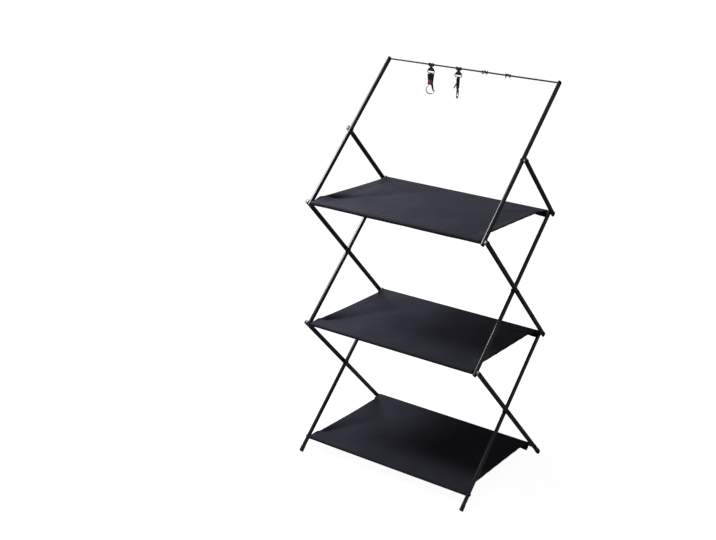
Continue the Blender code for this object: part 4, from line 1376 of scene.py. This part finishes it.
def eye_pattern():
    """An oblong ring with a turned collar and stem under it."""
    end = EYE_HEIGHT / 2
    reach = EYE_WIDTH / 2 - end
    outline = []
    for sign, start in ((1, -90), (-1, 90)):
        for k in range(EYE_STEPS + 1):
            turn = math.radians(start + 180 * k / EYE_STEPS)
            outline.append(Vector((sign * reach + end * math.cos(turn), 0,
                                   EYE_TOP - end + end * math.sin(turn))))
    outline.append(outline[0])
    line = [a + (b - a) * s / EYE_SPLITS
            for a, b in zip(outline, outline[1:]) for s in range(EYE_SPLITS)]
    ring = corded("eye", line + [outline[0]], EYE_WIRE, PLASTIC, EYE_SIDES)
    height = EYE_TOP - EYE_HEIGHT - COLLAR_BOTTOM
    collar = round_piece("collar", COLLAR_RADIUS, height, COLLAR_SIDES)
    round_rim(collar, height, COLLAR_ROUNDING, segments=3)
    sink(collar, 0, -1, COLLAR_RADIUS - STEM_RADIUS, -STEM_LENGTH)
    shifted(collar, raised(COLLAR_BOTTOM))
    return joined(finish_piece(ring, PLASTIC, angle=60), finish_piece(collar, PLASTIC))


def taper(piece, low, shares, centre_x=0.0):
    """Narrows a block's lower end to those shares of its width and depth."""
    pick(piece, faces=face_at(low, -1))
    bpy.ops.transform.resize(value=(*shares, 1), center_override=(centre_x, 0, low))


def banded(piece, length, bands, chosen, faced, height):
    """Cuts a block into bands, and raises the chosen ones on its front, -1, or its back, 1."""
    pick(piece, edges=upright(length))
    bpy.ops.mesh.subdivide(number_cuts=bands - 1)
    pick(piece, faces=lambda at, normal: (int((at.z + length / 2) / (length / bands)) in chosen
                                          and any(normal.y * side > SQUARE_ON for side in faced)))
    bpy.ops.mesh.extrude_region_shrink_fatten(TRANSFORM_OT_shrink_fatten={"value": height})


def body_pattern():
    """The moulded body: tapered, ribbed on its two flat sides, all its edges rounded."""
    height = BODY_TOP - BODY_BOTTOM
    body = block_piece("body", (BODY_WIDTHS[0], BODY_THICKNESS, height), BODY_CORNER, segments=4)
    taper(body, -height / 2, (BODY_WIDTHS[1] / BODY_WIDTHS[0], BODY_THINNING))
    banded(body, height, BODY_BANDS, BODY_GROOVES, (-1, 1), -GROOVE_DEPTH)
    round_rim(body, height / 2, BODY_ROUNDINGS[0], segments=3)
    round_rim(body, -height / 2, BODY_ROUNDINGS[1], segments=2)
    shifted(body, raised(BODY_BOTTOM + height / 2))
    return finish_piece(body, HOOK_BLACK, angle=40)


def wire_pattern():
    """The polished hook: out of the body on one side and round its bow, to a rounded nose."""
    start_x = HOOK_WIRE - BODY_WIDTHS[1] / 2
    points = [(start_x, 0, BODY_BOTTOM + bend) for bend in SHANK_BENDS]
    for k in range(BOW_STEPS + 1):
        turn = math.radians(BOW_START + (BOW_END - BOW_START) * k / BOW_STEPS)
        points.append((BOW_RADIUS * math.cos(turn), 0, BOW_MIDDLE + BOW_RADIUS * math.sin(turn)))
    path = softened(points, rounds=2)
    total = sum((b - a).length for a, b in zip(path, path[1:]))

    def nose(along, turn):
        left = (total - along) / HOOK_WIRE
        return math.sqrt(max(NOSE_TIP, 1 - (1 - left) ** 2)) if left < 1 else 1.0

    wire = corded("wire", path, HOOK_WIRE, BRIGHT_STEEL, HOOK_SIDES, nose)
    return finish_piece(wire, BRIGHT_STEEL, angle=60)


def gate_pattern():
    """The gate: a broad head at its pin, and a leg that tapers on its inner side into the bow."""
    gate = block_piece("gate", GATE_SIZE, GATE_CORNER, segments=3)
    shifted(gate, Matrix.Translation((GATE_ASIDE, 0, 0)))
    low = -GATE_SIZE[2] / 2
    taper(gate, low, GATE_TAPER, GATE_TAPER_X)
    round_rim(gate, low, GATE_ROUNDINGS[0], segments=3)
    round_rim(gate, -low, GATE_ROUNDINGS[1], segments=4)
    leaning = Matrix.Translation(GATE_PIVOT) @ Matrix.Rotation(-GATE_LEAN, 4, 'Y')
    shifted(gate, leaning @ raised(low + GATE_HEAD))
    return finish_piece(gate, HOOK_BLACK, angle=40)


def lever_pattern():
    """The thumb lever: a barrel at its pin and a thin tongue, ridged across near its free end."""
    lever = block_piece("lever", LEVER_SIZE, LEVER_CORNER, segments=2)
    low = -LEVER_SIZE[2] / 2
    taper(lever, low, LEVER_TAPER)
    banded(lever, LEVER_SIZE[2], LEVER_BANDS, LEVER_RIDGES, (-1,), RIDGE_HEIGHT)
    round_rim(lever, low, LEVER_ROUNDINGS[0], segments=2)
    round_rim(lever, -low, LEVER_ROUNDINGS[1], segments=3)
    leaning = Matrix.Translation(LEVER_PIVOT) @ Matrix.Rotation(-LEVER_LEAN, 4, 'X')
    shifted(lever, leaning @ raised(low + LEVER_HEAD))
    return finish_piece(lever, MAROON, angle=40)


def pin_pattern(radius, length, place, across):
    """A steel pin with rounded ends through a pivot."""
    pin = round_piece("pin", radius, length, PIN_SIDES)
    for height in (length, 0):
        round_rim(pin, height, radius * PIN_ROUNDING, segments=2)
    shifted(pin, Matrix.Translation(place) @ Matrix.Rotation(math.pi / 2, 4, across)
            @ raised(-length / 2))
    return finish_piece(pin, DARK_STEEL)


# Each pattern with its name, body, slot and node, and whether it turns with the swivel.
hook_patterns = [
    (strap_pattern(), "webbing", "loop", "cord", "strap", False),
    (hitch_pattern(), "hitch", "loop", "cord", None, False),
    (eye_pattern(), "oblong_eye", "loop", "black_plastic", "eye", False),
    (body_pattern(), "ribbed_body", "snap", "black_plastic", "body", True),
    (wire_pattern(), "steel_bow", "snap", "hook_steel", "wire", True),
    (gate_pattern(), "spring_gate", "gate", "black_plastic", "gate", True),
    (lever_pattern(), "thumb_lever", "lever", "lever_plastic", "lever", True),
    (pin_pattern(*GATE_PIN, GATE_PIVOT, 'X'), "gate_pin", "snap", "hook_steel", None, True),
    (pin_pattern(*LEVER_PIN, LEVER_PIVOT, 'Y'), "lever_pin", "snap", "hook_steel", None, True)]
for number, turn in enumerate(HOOK_TURNS, start=1):
    place = Vector((middle(f"hook_{number}_eye").x, cord_line.y, cord_line.z))
    for pattern, label, body, slot, node, swivels in hook_patterns:
        to_hook = Matrix.Translation(place) @ Matrix.Rotation(turn if swivels else 0, 4, 'Z')
        piece = copied(pattern, f"hook_{number}_{label}", to_hook)
        fitted(piece, f"hook_{number}_{body}", slot, *([f"hook_{number}_{node}"] if node else []))
put_away(*[entry[0] for entry in hook_patterns])

# Floor and light
# A plain white floor that runs on out of view under a white sky, and soft studio light: a square
# lamp near on the left, two high in front that light the edges of the left and the right frame's
# bars, and a dim light all round. In reflections the floor glows, bright in front and dim behind,
# a painted reflection that is no lamp.
FLOOR_SIZE = 60
FLOOR_LEVEL = -0.0005
FLOOR_SHADE = 0.30
FLOOR_GLOW = (0.955, 0.99)
FLOOR_REACH = (0.3, 3.0)
# How bright the floor glows in reflections only, from in front to behind: painted reflection.
FLOOR_MIRRORED = (0.80, 0.04)
MIRRORED_REACH = (-1.2, 0.3)
SKY_LIGHT = 0.13
SKY_MIRRORED = 0.45
WHITE = (1.0, 1.0, 1.0, 1.0)
LAMP_TARGET = Vector((0, 0, 0.6))


def seen_rays(tree):
    """Which rays see a surface: the camera's own, and those that glossy or clear pieces send."""
    rays = add_node(tree, 'ShaderNodeLightPath').outputs
    return rays["Is Camera Ray"], maths(tree, 'MAXIMUM', rays["Is Glossy Ray"],
                                        rays["Is Transmission Ray"])


bpy.ops.object.select_all(action='DESELECT')
bpy.ops.mesh.primitive_plane_add(size=FLOOR_SIZE, location=(0, 0, FLOOR_LEVEL))
floor = bpy.context.object
floor.name = "floor"
floor_paint, floor_tree, floor_shader = new_material("floor_white", 0.9, specular=0.1)
floor_points = own_points(floor_tree)
away = add_node(floor_tree, 'ShaderNodeVectorMath', {0: floor_points}, operation='LENGTH')
behind = add_node(floor_tree, 'ShaderNodeSeparateXYZ', {0: floor_points})
seen, mirrored = seen_rays(floor_tree)
# Near white to the camera; in reflections a painted glow, bright in front and dim behind.
glow = maths(floor_tree, 'MAXIMUM',
             times(floor_tree, seen, ranged(floor_tree, away.outputs["Value"], *FLOOR_REACH,
                                            *FLOOR_GLOW)),
             times(floor_tree, mirrored, ranged(floor_tree, behind.outputs["Y"], *MIRRORED_REACH,
                                                *FLOOR_MIRRORED)))
connect(floor_tree, floor_shader, {
    "Base Color": (FLOOR_SHADE, FLOOR_SHADE, FLOOR_SHADE, 1.0), "Emission Color": WHITE,
    "Emission Strength": glow})
floor.data.materials.append(floor_paint)

world = bpy.data.worlds.new("studio")
world.use_nodes = True
bpy.context.scene.world = world
sky_tree = world.node_tree
seen, mirrored = seen_rays(sky_tree)
white_sky = maths(sky_tree, 'MAXIMUM', seen, times(sky_tree, mirrored, SKY_MIRRORED))
connect(sky_tree, sky_tree.nodes["Background"].inputs, {
    "Color": WHITE, "Strength": maths(sky_tree, 'MAXIMUM', white_sky, SKY_LIGHT)})


def lamp(name, direction, distance, size, power):
    """A soft lamp, (width, height) in metres, that faces the shelf from a direction."""
    light = bpy.data.lights.new(name, 'AREA')
    light.shape = 'RECTANGLE'
    light.size, light.size_y = size
    light.energy = power
    holder = bpy.data.objects.new(name, light)
    towards = Vector(direction).normalized()
    turn = (-towards).to_track_quat('-Z', 'Y').to_matrix().to_4x4()
    holder.matrix_world = Matrix.Translation(LAMP_TARGET + distance * towards) @ turn
    bpy.context.scene.collection.objects.link(holder)


lamp("key_lamp", (-0.699, -0.155, 0.699), distance=1.06, size=(0.6, 0.6), power=10.5)
lamp("edge_lamp", (-0.56, -0.30, 0.76), distance=3.2, size=(0.8, 0.4), power=23)
lamp("glint_lamp", (-0.46, -0.30, 0.83), distance=3.2, size=(0.5, 0.5), power=14)

bpy.context.scene.view_settings.view_transform = 'Standard'
